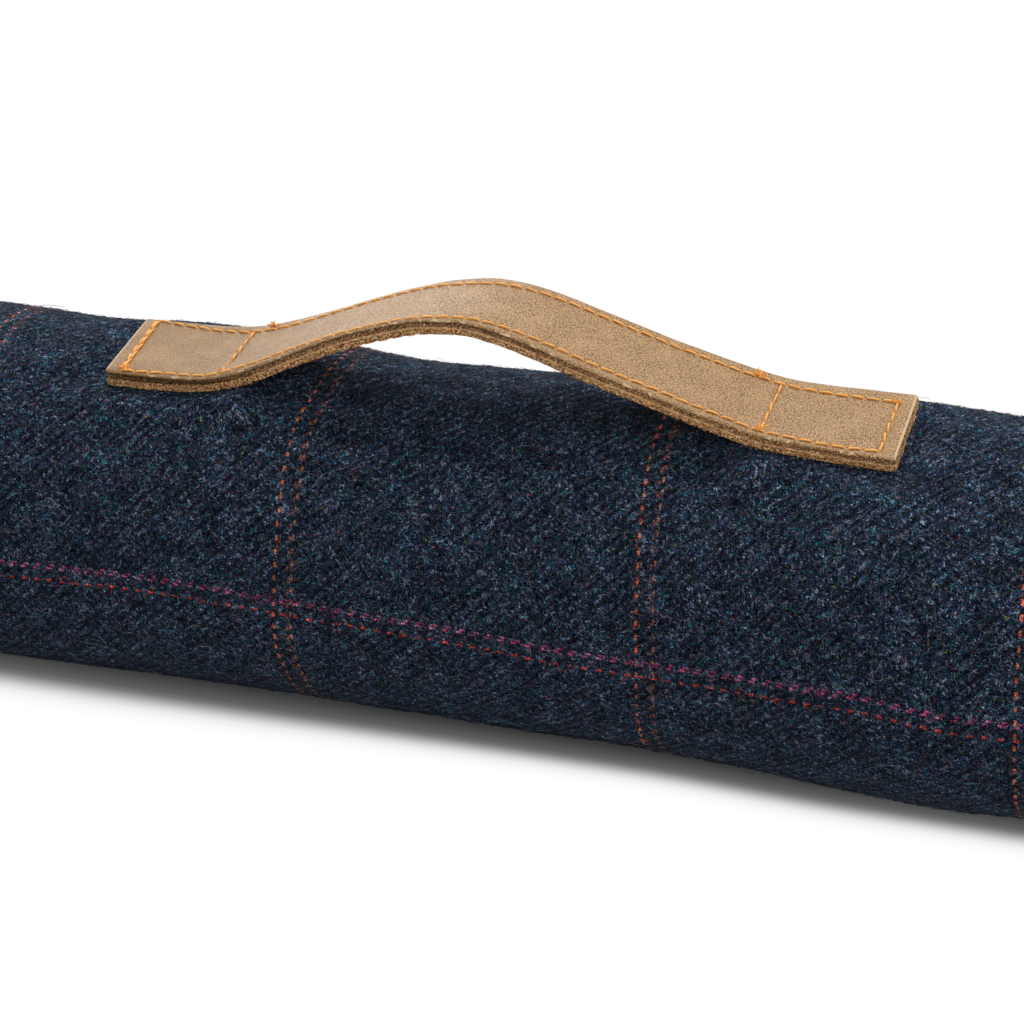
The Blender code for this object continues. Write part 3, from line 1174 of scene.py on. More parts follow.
@dataclass
class EndPanel:
    """One round panel of the same tweed, sewn into the end of the roll."""

    form: RollForm
    finish: bpy.types.Material
    side: Side
    radius: float = 48 * MM
    columns: int = 120
    rings: int = 22
    ripples: Ripples = Ripples(
        waves=37, wander=1.1, wander_waves=4, slow_share=0.4, slow_waves=19,
    )
    rim_swell: float = 0.45 * MM
    pucker_height: float = 0.3 * MM
    rim_fold: float = 1.3 * MM
    rim_drop: float = 0.5 * MM
    thinnest: float = 0.35 * MM
    crown_slack: float = 0.1 * MM
    fill_gap: float = 0.25 * MM
    rim_zone: tuple[float, float] = (9 * MM, 1 * MM)

    def reach(self, distance: np.ndarray, angle: np.ndarray) -> np.ndarray:
        """Find how far the panel's outer face stands past the rim.

        Args:
            distance: Distances from the panel's middle.
            angle: Angles round it.

        Returns:
            Distance past the rim.
        """
        form = self.form
        crown = form.panel_crown - self.crown_slack
        dome = crown * (1 - (distance / form.rim_radius) ** 2)
        start, full = self.rim_zone
        near_rim = ease(distance, self.radius - start, self.radius - full)
        return dome + (self.rim_swell + self.pucker_height * self.ripples.at(angle)) * near_rim

    def build(self) -> bpy.types.Object:
        """Build the panel in place of its CAD node.

        Returns:
            The dressed panel.
        """
        form = self.form
        angle = 2 * math.pi * np.arange(self.columns + 1) / self.columns
        outer = np.linspace(0, self.radius, self.rings + 1)
        distance = np.concatenate((outer, outer[::-1]))[:, None]
        inside = np.concatenate((np.zeros(len(outer)), np.ones(len(outer))))[:, None]
        reach = self.reach(distance, angle)
        floor = form.fill_crown * (1 - (distance / form.rim_radius) ** 2) + self.fill_gap
        rounded = ease(distance, self.radius - self.rim_fold, self.radius)
        outside = np.maximum(reach - self.rim_drop * rounded, floor + self.thinnest)
        x = np.where(inside > 0, floor, outside)
        across = distance * np.cos(angle)
        up = distance * np.sin(angle)
        facing = self.side.value
        back, height = form.middle(np.array([facing * form.rim_place]))
        points = together(facing * (form.rim_place + x), back[0] + across, height[0] + up)
        flat = together(across * facing, up)
        surface = closed_tubes(points[None, :, :-1], flat[None], "cloth")
        name = f"end_panel_{self.side.name.lower()}"
        panel = new_piece(name, surface, [self.finish])
        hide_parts(f"end_{self.side.name.lower()}")
        return panel


@dataclass(frozen=True)
class StitchPlan:
    """Where the handle's lines of stitching run, as drawn on its upper face."""

    near: Curve = Curve((
        (-110.5, -14.0), (-95, -13.4), (-82, -13.6), (-72, -12.2), (-60, -12.6), (-45, -13.7),
        (-25, -13.8), (-8, -12.9), (10, -11.8), (30, -11.9), (60, -12.3), (80, -12.7),
        (97, -13.3), (111.2, -12.7),
    ))
    far: Curve = Curve((
        (-111.4, 13.6), (-104, 13.0), (-95, 12.0), (-79, 10.8), (-66, 10.4), (-50, 11.2),
        (-30, 11.2), (-12, 10.4), (8, 11.1), (22, 11.4), (50, 11.1), (75, 10.8),
        (95, 10.3), (111.8, 10.0),
    ))
    left_end: float = -110.7 * MM
    left_cross: float = -79.0 * MM
    right_cross: float = 79.1 * MM
    right_end: float = 111.5 * MM
    end_margin: float = 1 * MM
    pull_reach: float = 0.75 * MM

    def sunk(self, place: np.ndarray, across: np.ndarray) -> np.ndarray:
        """Find how firmly the stitching pulls the leather in.

        Args:
            place: Places along the handle.
            across: Distance from its middle line.

        Returns:
            1 on a line of stitching, falling to 0 about a millimetre from it.
        """
        gaps = [np.abs(across - self.near.at(place)), np.abs(across - self.far.at(place))]
        between = (across > self.near.at(place)) & (across < self.far.at(place))
        for line in (self.left_end, self.left_cross, self.right_cross, self.right_end):
            gaps.append(np.where(between, np.abs(place - line), 1.0))
        outside = place < self.left_end - self.end_margin
        outside = outside | (place > self.right_end + self.end_margin)
        nearest = np.where(outside, 1.0, np.minimum.reduce(np.broadcast_arrays(*gaps)))
        return np.exp(-(nearest / self.pull_reach) ** 2)


@dataclass
class LeatherStrip:
    """One leather strip of the handle, with softened rims and rough cut edges."""

    handle: HandleForm
    plan: StitchPlan
    name: str
    node: str
    slot: str
    top: float
    bottom: float
    rim: float
    seed: float
    face_step: float
    along_step: float = 0.6 * MM
    edge_band: float = 5 * MM
    edge_step: float = 0.4 * MM
    under_step: float = 2.2 * MM
    under_rim: float = 0.3 * MM
    side_foot: float = 0.25 * MM
    end_steps: tuple[float, ...] = (0, 0.12, 0.3, 0.55, 0.85)
    end_band: float = 1.2 * MM
    end_rim: float = 0.35 * MM
    corner: float = 0.4 * MM
    corner_length: float = 0.7 * MM
    fine_rough: float = 0.16 * MM
    fine_lump: float = 1.4 * MM
    coarse_rough: float = 0.22 * MM
    coarse_lump: float = 5 * MM
    thread_sink: float = 0.30 * MM
    face_wave: float = 0.12 * MM
    face_lump: float = 9 * MM
    rough_band: tuple[float, float] = (1.6 * MM, 0.2 * MM)
    draw_in: float = 0.25 * MM
    draw_in_parted: float = 0.75 * MM
    face_slope: float = 0.30
    face_depth: float = 9 * MM

    def outline(self) -> tuple[np.ndarray, np.ndarray]:
        """Lay out the points round the strip's section.

        Returns:
            Their place across the strip as a share of its half width, and their depth share.
        """
        half = self.handle.width / 2
        inner = half - self.edge_band
        edge = np.arange(inner, half - self.rim, self.edge_step)
        middle = np.arange(-inner, inner, self.face_step)
        face = np.concatenate((-edge[::-1], middle, edge))
        turn = np.linspace(0, math.pi / 2, 5)
        rim_across = half - self.rim + self.rim * np.sin(turn)
        rim_depth = self.rim * (1 - np.cos(turn))
        thick = self.bottom - self.top
        side_depth = np.linspace(self.rim, thick - self.side_foot, 6)[1:]
        side_across = np.full(len(side_depth), half)
        under = np.arange(half - self.under_rim, -half, -self.under_step)
        under = np.append(under, -half + self.under_rim)
        across = np.concatenate((
            face, rim_across, side_across, under, -side_across, -rim_across[::-1],
        ))
        depth = np.concatenate((
            np.zeros(len(face)), rim_depth, side_depth, np.full(len(under), thick),
            side_depth[::-1], rim_depth[::-1],
        ))
        return across, depth

    def stations(self) -> np.ndarray:
        """Lay out the places along the strip, closer together at both cut ends.

        Returns:
            The places in order.
        """
        handle = self.handle
        close = np.array(self.end_steps) * MM
        start, stop = handle.left + self.end_band, handle.right - self.end_band
        body = np.linspace(start, stop, round((stop - start) / self.along_step) + 1)
        return np.concatenate((handle.left + close, body, handle.right - close[::-1]))

    def build(self, materials: Sequence[bpy.types.Material]) -> bpy.types.Object:
        """Build the strip in place of its CAD node.

        Args:
            materials: The face's material, then the cut edge's.

        Returns:
            The dressed strip.
        """
        handle = self.handle
        place = self.stations()[:, None]
        across, depth = self.outline()
        from_end = np.minimum(place - handle.left, handle.right - place)
        corner = ease(from_end, self.corner_length, 0) * self.corner
        share = 1 - corner / (handle.width / 2)
        across_all = across * share
        face = ease(depth, self.rim, 0) * np.ones_like(place)
        turned = np.clip(1 - (1 - from_end / self.end_rim) ** 2, 0, 1)
        end_drop = np.where(from_end < self.end_rim, self.end_rim * (1 - np.sqrt(turned)), 0)
        fall = self.top + depth + end_drop * face
        spots = together(place, across_all, fall)
        start, full = (handle.width / 2 - inset for inset in self.rough_band)
        is_side = ease(np.abs(across_all), start, full)
        rough = self.fine_rough * lumps(spots, self.fine_lump, self.seed)
        rough = rough + self.coarse_rough * lumps(spots, self.coarse_lump, 7 + self.seed)
        lower = depth / (self.bottom - self.top)
        across_all = across_all + np.sign(across) * rough * is_side * ease(lower, 0.1, 0.5)
        across_all = across_all + self.parting(place, across, lower)
        if self.top == 0:
            fall = fall + self.thread_sink * self.plan.sunk(place, across_all) * face
            fall = fall + self.face_wave * lumps(spots, self.face_lump, 2.0) * face
        else:
            fall = fall + handle.splay(place, across_all)
        points = handle.surface(place, across_all, fall)
        run = np.concatenate((across + depth * np.sign(across), across[:1]))
        flat = together(place, run)
        surface = closed_tubes(points[None], flat[None], "leather")
        self.mark_edges(surface, materials)
        strip = new_piece(self.name, surface, materials)
        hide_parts(self.node)
        return strip

    def parting(self, place: np.ndarray, across: np.ndarray, lower: np.ndarray) -> np.ndarray:
        """Find how far the edge draws in beside the other strip.

        Args:
            place: Places along the strip.
            across: Places across it.
            lower: Depth as a share of the strip's thickness.

        Returns:
            The move across the strip.
        """
        toward = ease(lower, 0.35, 1.0) if self.top == 0 else ease(lower, 0.65, 0.0)
        parted = ease(place, self.handle.parts_from, self.handle.parted_at)
        open_end = self.draw_in + self.draw_in_parted * parted
        on_side = np.abs(across) > self.handle.width / 2 - 0.5 * MM
        return -np.sign(across) * open_end * toward * on_side

    def mark_edges(
        self,
        surface: bmesh.types.BMesh,
        materials: Sequence[bpy.types.Material],
    ) -> None:
        """Give the cut edges and the underside the second material.

        Args:
            surface: The strip's surface.
            materials: The strip's materials; one alone is left as it is.
        """
        if len(materials) < 2:
            return
        for face in surface.faces:
            spot = face.calc_center_median()
            up = face.normal.z > self.face_slope
            top = self.handle.height.at(np.array([spot.x]))[0]
            near_top = spot.z > top - self.face_depth
            on_face = up and near_top and len(face.verts) < FLAT_FACE_CORNERS
            face.material_index = 0 if on_face else 1


def many_tubes(
    centres: np.ndarray,
    beside: np.ndarray,
    above: np.ndarray,
    sides: int,
) -> bmesh.types.BMesh:
    """Make many short threads, each a closed tube.

    Args:
        centres: Points along each thread's middle, by thread and ring.
        beside: The radius to the side at each point, as a vector.
        above: The radius upwards at each point, as a vector.
        sides: Faces round a thread.

    Returns:
        The threads, their UV map holding metres along and radians round.
    """
    turn = 2 * math.pi * np.arange(sides + 1) / sides
    rims = (
        centres[:, :, None]
        + beside[:, :, None] * np.cos(turn[:-1])[:, None]
        + above[:, :, None] * np.sin(turn[:-1])[:, None]
    )
    steps = np.linalg.norm(np.diff(centres, axis=1), axis=-1)
    run = np.concatenate((np.zeros((len(centres), 1)), np.cumsum(steps, axis=1)), axis=1)
    return closed_tubes(rims, together(run[..., None], turn), "thread")


@dataclass
class Stitching:
    """Orange thread of the handle: its lines of stitches, its backstitched ends and its knots."""

    handle: HandleForm
    plan: StitchPlan
    finish: bpy.types.Material
    pitch: float = 4.4 * MM
    gap: float = 0.55 * MM
    radius: float = 0.35 * MM
    sides: int = 7
    rings: int = 9
    lift: float = 0.24 * MM
    dive: float = 0.70 * MM
    flatness: float = 0.82
    under_face: float = 4.5 * MM
    lean_spread: float = 0.10 * MM
    belly: float = 0.03 * MM
    belly_spread: float = 0.07 * MM
    lift_spread: float = 0.15
    radius_spread: float = 0.06
    end_taper: float = 0.25
    strand_radius: tuple[float, float] = (0.13, 0.23)
    arch: tuple[float, float] = (-72 * MM, 73 * MM)
    backstitch_points: int = 12

    def route(self, spots: np.ndarray, offset: float = 0.0) -> np.ndarray:
        """Cut a line into stitches.

        Args:
            spots: Place and across of points along the line.
            offset: Distance at which the first stitch starts.

        Returns:
            Place and across of the rings of each stitch.
        """
        where = self.handle.surface(spots[:, 0], spots[:, 1], np.zeros(len(spots)))
        steps = np.linalg.norm(np.diff(where, axis=0), axis=-1)
        run = np.concatenate(([0.0], np.cumsum(steps)))
        count = round((run[-1] - offset) / self.pitch)
        pitch = (run[-1] - offset) / count
        starts = offset + pitch * np.arange(count)[:, None]
        share = np.linspace(0, 1, self.rings)
        reach = starts + self.gap / 2 + (pitch - self.gap) * share
        return together(*(np.interp(reach, run, spots[:, axis]) for axis in (0, 1)))

    def lay(
        self,
        spots: np.ndarray,
        rng: np.random.Generator,
        slant: float,
        thickness: float = 1.0,
        under: bool = False,
    ) -> tuple[np.ndarray, np.ndarray, np.ndarray]:
        """Lay stitches on a face of the handle.

        Args:
            spots: Place and across of the rings of each stitch.
            rng: Source of the small differences between stitches.
            slant: How far a stitch's ends lie to either side of the line.
            thickness: Factor on the thread's radius.
            under: True for the face below.

        Returns:
            Middle points of the thread, and its radius to the side and upwards.
        """
        share = np.linspace(-1, 1, self.rings)
        count = len(spots)
        way = unit(spots[:, -1:] - spots[:, :1])
        normal = together(-way[..., 1], way[..., 0])
        lean = slant + rng.normal(0, self.lean_spread, (count, 1))
        belly = rng.normal(self.belly, self.belly_spread, (count, 1))
        aside = lean * share + belly * (1 - share ** 2)
        moved = spots + normal * aside[..., None]
        proud = self.lift * (1 + rng.normal(0, self.lift_spread, (count, 1)))
        rise = proud - (proud + self.dive) * np.abs(share) ** 8
        fall = self.under_face + rise if under else -rise
        centres = self.handle.surface(moved[..., 0], moved[..., 1], fall)
        deeper = self.handle.surface(moved[..., 0], moved[..., 1], fall + 1 * MM)
        up = unit(centres - deeper)
        forward = unit(np.gradient(centres, axis=1))
        side = unit(np.cross(forward, up))
        taper = (1 - self.end_taper * np.abs(share) ** 4)[None, :, None]
        radius = self.radius * thickness * taper
        radius = radius * (1 + rng.normal(0, self.radius_spread, (count, 1, 1)))
        return centres, side * radius, unit(np.cross(side, forward)) * radius * self.flatness

    def lines(self) -> dict[str, np.ndarray]:
        """Draw every line of the stitching.

        Returns:
            Place and across of points along each line.
        """
        plan = self.plan
        along = np.linspace(plan.left_end, plan.right_end, 500)
        lines = {
            "near": together(along, plan.near.at(along)),
            "far": together(along, plan.far.at(along)),
        }
        share = np.linspace(0, 1, 40)
        for name, place, skew in (
            ("left_end", plan.left_end, -0.9 * MM),
            ("left_cross", plan.left_cross, 0.3 * MM),
            ("right_cross", plan.right_cross, 0.2 * MM),
            ("right_end", plan.right_end, 0.5 * MM),
        ):
            near = plan.near.at(np.array([place]))[0]
            far = plan.far.at(np.array([place]))[0]
            lines[name] = together(place + skew * share, near + (far - near) * share)
        return lines

    def tufts(
        self,
        spots: Sequence[tuple[float, float]],
        rng: np.random.Generator,
        count: int,
        length: float,
        spread: float,
    ) -> tuple[np.ndarray, np.ndarray, np.ndarray]:
        """Make the frayed ends of the thread.

        Args:
            spots: Place and across of each tuft, in millimetres.
            rng: Source of the differences between strands.
            count: Strands in a tuft.
            length: Length of a strand.
            spread: How far from the spot a strand starts.

        Returns:
            Middle points of the strands, and their radius to the side and upwards.
        """
        centres = []
        share = np.linspace(0, 1, self.rings)[:, None]
        for place, across in spots:
            root = self.handle.surface(
                np.array(place * MM), np.array(across * MM), np.array(-0.1 * MM)
            )
            for _ in range(count):
                start = root + rng.normal(0, spread, 3) * (1, 1, 0.2)
                way = unit(rng.normal(0, 1, 3) * (1, 1, 0.35) + (0, 0, 0.75))
                bend = rng.normal(0, 0.5, 3) * (1, 1, 0.4)
                reach = length * rng.uniform(0.6, 1.3)
                centres.append(start + reach * (way * share + bend * share ** 2 * 0.8))
        centres = np.array(centres)
        forward = unit(np.gradient(centres, axis=1))
        side = unit(np.cross(forward, np.array((0.3, 0.2, 1.0))))
        radius = rng.uniform(*self.strand_radius, (len(centres), 1, 1)) * MM
        return centres, side * radius, unit(np.cross(side, forward)) * radius

    def build(self) -> bpy.types.Object:
        """Build all the thread of the handle as one piece.

        Returns:
            The dressed thread.
        """
        rng = np.random.default_rng(11)
        lines = self.lines()
        second = self.backstitch_points
        threads = [
            self.lay(self.route(lines["near"]), rng, 0.16 * MM),
            self.lay(self.route(lines["far"]), rng, -0.14 * MM),
            self.lay(self.route(lines["left_cross"][second:]), rng, 0.18 * MM),
            self.lay(self.route(lines["left_cross"][:second]), rng, 0.35 * MM, 0.5),
            self.lay(self.route(lines["right_cross"]), rng, 0.12 * MM),
            self.lay(self.route(lines["right_end"]), rng, 0.12 * MM),
            self.lay(self.route(lines["left_end"]), rng, 0.15 * MM, 1.15),
            self.lay(self.route(lines["left_end"] + (0.75 * MM, 0), 2 * MM), rng, -0.2 * MM, 1.1),
        ]
        for name in ("near", "far"):
            line = lines[name]
            arch = line[(line[:, 0] > self.arch[0]) & (line[:, 0] < self.arch[1])]
            threads.append(self.lay(self.route(arch), rng, 0.1 * MM, 1.0, under=True))
        threads.append(self.tufts(
            ((-73.8, 13.0), (72.8, 11.6)), rng, count=14, length=1.4 * MM, spread=0.30 * MM,
        ))
        threads.append(self.tufts(
            ((79.0, -11.8), (111.4, 9.6), (-110.0, -12.6), (-109.7, -13.4)),
            rng, count=12, length=1.1 * MM, spread=0.55 * MM,
        ))
        threads.append(self.tufts(
            ((-79.2, -11.8),), rng, count=4, length=1.2 * MM, spread=0.35 * MM,
        ))
        parts = [np.concatenate(part) for part in zip(*threads)]
        surface = many_tubes(*parts, self.sides)
        return new_piece("handle_stitching", surface, [self.finish])


class Shade(NamedTuple):
    """One colour of fibre and its share of all the fibres."""

    colour: Colour
    share: float


TWEED_SHADES = (
    Shade((0.003, 0.004, 0.007), 0.46),
    Shade((0.008, 0.012, 0.022), 0.22),
    Shade((0.028, 0.038, 0.058), 0.10),
    Shade((0.008, 0.052, 0.078), 0.05),
    Shade((0.026, 0.040, 0.095), 0.04),
    Shade((0.085, 0.084, 0.112), 0.05),
    Shade((0.150, 0.195, 0.255), 0.035),
    Shade((0.240, 0.030, 0.035), 0.005),
    Shade((0.110, 0.110, 0.035), 0.006),
    Shade((0.030, 0.190, 0.270), 0.012),
)
LEATHER_SHADES = (
    Shade((0.950, 0.590, 0.330), 0.35),
    Shade((0.580, 0.285, 0.120), 0.40),
    Shade((0.110, 0.048, 0.016), 0.25),
)


@dataclass
class FibreCoat:
    """Short loose fibres that stand on a piece: one thin curved ribbon for each fibre."""

    name: str
    count: int
    length: tuple[float, float]
    width: float
    lift: float
    bend: float
    shades: Sequence[Shade]
    finish: bpy.types.Material
    seed: int
    stations: int = 4
    hook_share: float = 0.7
    tip_lift: float = 0.6
    tip_taper: float = 0.6
    root_gap: float = 0.02 * MM
    floor_gap: float = 0.25 * MM

    def build(self, roots: np.ndarray, normals: np.ndarray, tints: np.ndarray) -> bpy.types.Object:
        """Build the fibres.

        Args:
            roots: Middle of each fibre, on the surface.
            normals: Direction out of the surface there.
            tints: Colour of each fibre.

        Returns:
            The dressed fibres.
        """
        rng = np.random.default_rng(self.seed)
        count = len(roots)
        way = unit(np.cross(normals, rng.normal(0, 1, (count, 3))))
        side = np.cross(normals, way)
        length = rng.uniform(*self.length, (count, 1, 1))
        share = np.linspace(-1, 1, self.stations)[None, :, None]
        bend = rng.normal(0, self.bend, (count, 1, 1))
        hook = rng.normal(0, self.bend * self.hook_share, (count, 1, 1))
        lift = self.lift * np.abs(rng.normal(0, 1, (count, 1, 1)))
        tip = rng.normal(0, self.tip_lift, (count, 1, 1)) * self.lift
        centres = (
            roots[:, None]
            + way[:, None] * share * length / 2
            + side[:, None] * (bend * share ** 2 + hook * share ** 3) * length
            + normals[:, None] * (lift * (1 - share ** 2) + tip * share + self.root_gap)
        )
        centres[..., 2] = np.maximum(centres[..., 2], self.floor_gap)
        angle = rng.uniform(0, math.pi, (count, 1, 1))
        across = side[:, None] * np.cos(angle) + normals[:, None] * np.sin(angle)
        taper = 1 - self.tip_taper * np.abs(share) ** 3
        across = across * taper * self.width * rng.uniform(0.6, 1.3, (count, 1, 1)) / 2
        return self.ribbons(centres, across, tints)

    def ribbons(self, centres: np.ndarray, across: np.ndarray, tints: np.ndarray) -> bpy.types.Object:
        """Make one piece of all the ribbons.

        Args:
            centres: Points along each fibre.
            across: Half the ribbon's width there, as a vector.
            tints: Colour of each fibre.

        Returns:
            The dressed fibres.
        """
        surface = grid_of_strips(len(centres), 2, self.stations - 1)
        mesh = bpy.data.meshes.new(self.name)
        surface.to_mesh(mesh)
        surface.free()
        cells = np.empty(len(mesh.vertices) * 3)
        mesh.vertices.foreach_get("co", cells)
        cells = np.rint(cells).astype(int).reshape(-1, 3)
        station = cells[:, 0]
        fibre, edge = np.divmod(cells[:, 1], 2)
        places = centres[fibre, station] + across[fibre, station] * (edge * 2 - 1)[:, None]
        mesh.vertices.foreach_set("co", places.ravel())
        layer = mesh.color_attributes.new("fibre", "FLOAT_COLOR", "POINT")
        colours = np.concatenate((tints[fibre], np.ones((len(fibre), 1))), axis=1)
        layer.data.foreach_set("color", colours.ravel())
        mesh.shade_smooth()
        mesh.update()
        return show_mesh(self.name, mesh, [self.finish])

    def pick(self, rng: np.random.Generator, count: int) -> np.ndarray:
        """Draw a colour for each fibre.

        Args:
            rng: Source of the draw.
            count: How many colours to draw.

        Returns:
            The colours, one row each.
        """
        shares = np.array([shade.share for shade in self.shades])
        colours = np.array([shade.colour for shade in self.shades])
        drawn = colours[rng.choice(len(colours), count, p=shares / shares.sum())]
        return drawn * rng.uniform(0.7, 1.35, (count, 1))


class Roots(NamedTuple):
    """Where fibres grow: points on a piece, the directions out of it and the flat places."""

    points: np.ndarray
    normals: np.ndarray
    flats: np.ndarray

    def keep(self, wanted: np.ndarray) -> "Roots":
        """The roots for which the test is true."""
        return Roots(self.points[wanted], self.normals[wanted], self.flats[wanted])


def scatter(piece: bpy.types.Object, rng: np.random.Generator, count: int) -> Roots:
    """Spread points evenly over a piece.

    Args:
        piece: The piece; its mesh has a UV map.
        rng: Source of the places.
        count: How many points to spread.

    Returns:
        The points.
    """
    mesh = piece.data
    mesh.calc_loop_triangles()
    triangles = mesh.loop_triangles
    corners = np.empty(len(triangles) * 3, dtype=np.int32)
    triangles.foreach_get("vertices", corners)
    loops = np.empty(len(triangles) * 3, dtype=np.int32)
    triangles.foreach_get("loops", loops)
    places = np.empty(len(mesh.vertices) * 3)
    mesh.vertices.foreach_get("co", places)
    flats = np.empty(len(mesh.loops) * 2)
    mesh.uv_layers[0].data.foreach_get("uv", flats)
    corners = places.reshape(-1, 3)[corners].reshape(-1, 3, 3)
    flats = flats.reshape(-1, 2)[loops].reshape(-1, 3, 2)
    facing = np.cross(corners[:, 1] - corners[:, 0], corners[:, 2] - corners[:, 0])
    area = np.linalg.norm(facing, axis=1)
    chosen = rng.choice(len(area), count, p=area / area.sum())
    shares = rng.dirichlet((1, 1, 1), count)[..., None]
    return Roots(
        (corners[chosen] * shares).sum(axis=1),
        unit(facing[chosen]),
        (flats[chosen] * shares).sum(axis=1),
    )


@dataclass
class TweedPile:
    """The cloth's raised nap: short fibres of its mixed wools, and some long stray hairs."""

    form: RollForm
    cloth: TweedFinish
    finish: bpy.types.Material
    coats: int = 4
    fibres: int = 22000
    check_fibres: int = 11000
    hairs: int = 1300
    firmly_drawn: float = 0.97
    handle_level: float = 80 * MM
    floor_level: float = 1.2 * MM
    dyed_share: float = 0.75
    shares: tuple[float, ...] = (0.95, 0.025, 0.025)
    check_tries: int = 14

    def clear(self, roots: Roots) -> Roots:
        """Drop the fibres that would lie under the handle or under the roll.

        Args:
            roots: Where fibres would grow.

        Returns:
            The roots that are left.
        """
        points = roots.points
        drawn = self.form.drawn_share(points[:, 0], points[:, 1]) > self.firmly_drawn
        under_handle = drawn & (points[:, 2] > self.handle_level)
        return roots.keep(~under_handle & (points[:, 2] > self.floor_level))

    def tint(self, coat: FibreCoat, roots: Roots, rng: np.random.Generator) -> np.ndarray:
        """Colour fibres, the ones that grow from a coloured yarn like it.

        Args:
            coat: The coat that they belong to.
            roots: Where they grow.
            rng: Source of the draw.

        Returns:
            The colours, one row each.
        """
        cloth = self.cloth
        tints = coat.pick(rng, len(roots.points))
        along, round_it = cloth.yarn_places(roots.flats)
        for place, repeat, yarns, spread in (
            (along, cloth.repeat_along, cloth.ring_yarns, 0.5),
            (round_it, cloth.repeat_round, cloth.long_yarns, 0.9),
        ):
            for yarn in yarns:
                loose = place + rng.normal(0, spread, len(place))
                here = np.floor(loose % repeat) == yarn.index
                here &= rng.random(len(place)) < yarn.cover * self.dyed_share
                mix = rng.uniform(0, 1, (here.sum(), 1)) ** 2
                colours = np.array(yarn.colour) * (1 - mix) + np.array(yarn.second) * mix
                tints[here] = colours * rng.uniform(0.6, 1.3, (here.sum(), 1))
        return tints

    def near_check(self, roots: Roots) -> Roots:
        """Keep the roots that lie on the overcheck or beside it.

        Args:
            roots: Where fibres would grow.

        Returns:
            The roots that are left.
        """
        cloth = self.cloth
        along, round_it = cloth.yarn_places(roots.flats)
        near = np.zeros(len(along), dtype=bool)
        for place, repeat, middle, reach in (
            (along, cloth.repeat_along, 2.5, 3.6),
            (round_it, cloth.repeat_round, 2, 3.4),
        ):
            near |= np.abs((place - middle) % repeat - repeat / 2) > repeat / 2 - reach
        return roots.keep(near)

    def build(self, pieces: Sequence[bpy.types.Object]) -> None:
        """Grow the nap on the cloth pieces, and then the stray hairs.

        Args:
            pieces: The roll and its two end panels.
        """
        for number in range(self.coats):
            rng = np.random.default_rng(100 + number)
            coat = FibreCoat(
                f"tweed_nap_{number + 1}", self.fibres, length=(1.2 * MM, 3.4 * MM),
                width=0.12 * MM, lift=0.20 * MM, bend=0.42, shades=TWEED_SHADES,
                finish=self.finish, seed=200 + number,
            )
            self.grow(coat, pieces, rng)
        self.grow_check(pieces[0])
        rng = np.random.default_rng(300)
        strays = FibreCoat(
            "tweed_stray_hairs", self.hairs, length=(4 * MM, 10 * MM),
            width=0.12 * MM, lift=0.7 * MM, bend=0.75, shades=TWEED_SHADES[3:],
            finish=self.finish, seed=301, stations=12,
        )
        self.grow(strays, pieces, rng)

    def grow_check(self, roll: bpy.types.Object) -> None:
        """Grow the extra fibres that veil the overcheck's yarns.

        Args:
            roll: The dressed roll.
        """
        rng = np.random.default_rng(400)
        coat = FibreCoat(
            "tweed_check_nap", self.check_fibres, length=(0.8 * MM, 2.4 * MM),
            width=0.075 * MM, lift=0.22 * MM, bend=0.36, shades=TWEED_SHADES,
            finish=self.finish, seed=401,
        )
        tries = self.check_tries * coat.count
        roots = self.near_check(self.clear(scatter(roll, rng, tries)))
        roots = roots.keep(np.arange(len(roots.points)) < coat.count)
        coat.build(roots.points, roots.normals, self.tint(coat, roots, rng))

    def grow(
        self,
        coat: FibreCoat,
        pieces: Sequence[bpy.types.Object],
        rng: np.random.Generator,
    ) -> None:
        """Grow one coat over all the cloth pieces.

        Args:
            coat: The coat.
            pieces: The roll and its two end panels.
            rng: Source of the places and colours.
        """
        found = []
        tints = []
        for piece, share in zip(pieces, self.shares):
            roots = self.clear(scatter(piece, rng, round(coat.count * share)))
            if share < 0.5:
                outward = np.sign(roots.points[:, 0]) * roots.normals[:, 0] > 0.3
                roots = roots.keep(outward)
                tints.append(coat.pick(rng, len(roots.points)))
            else:
                shoulder = np.abs(roots.points[:, 0]) < self.form.rim_place
                roots = roots.keep(shoulder)
                tints.append(self.tint(coat, roots, rng))
            found.append(roots)
        points, normals, _ = (np.concatenate(part) for part in zip(*found))
        coat.build(points, normals, np.concatenate(tints))


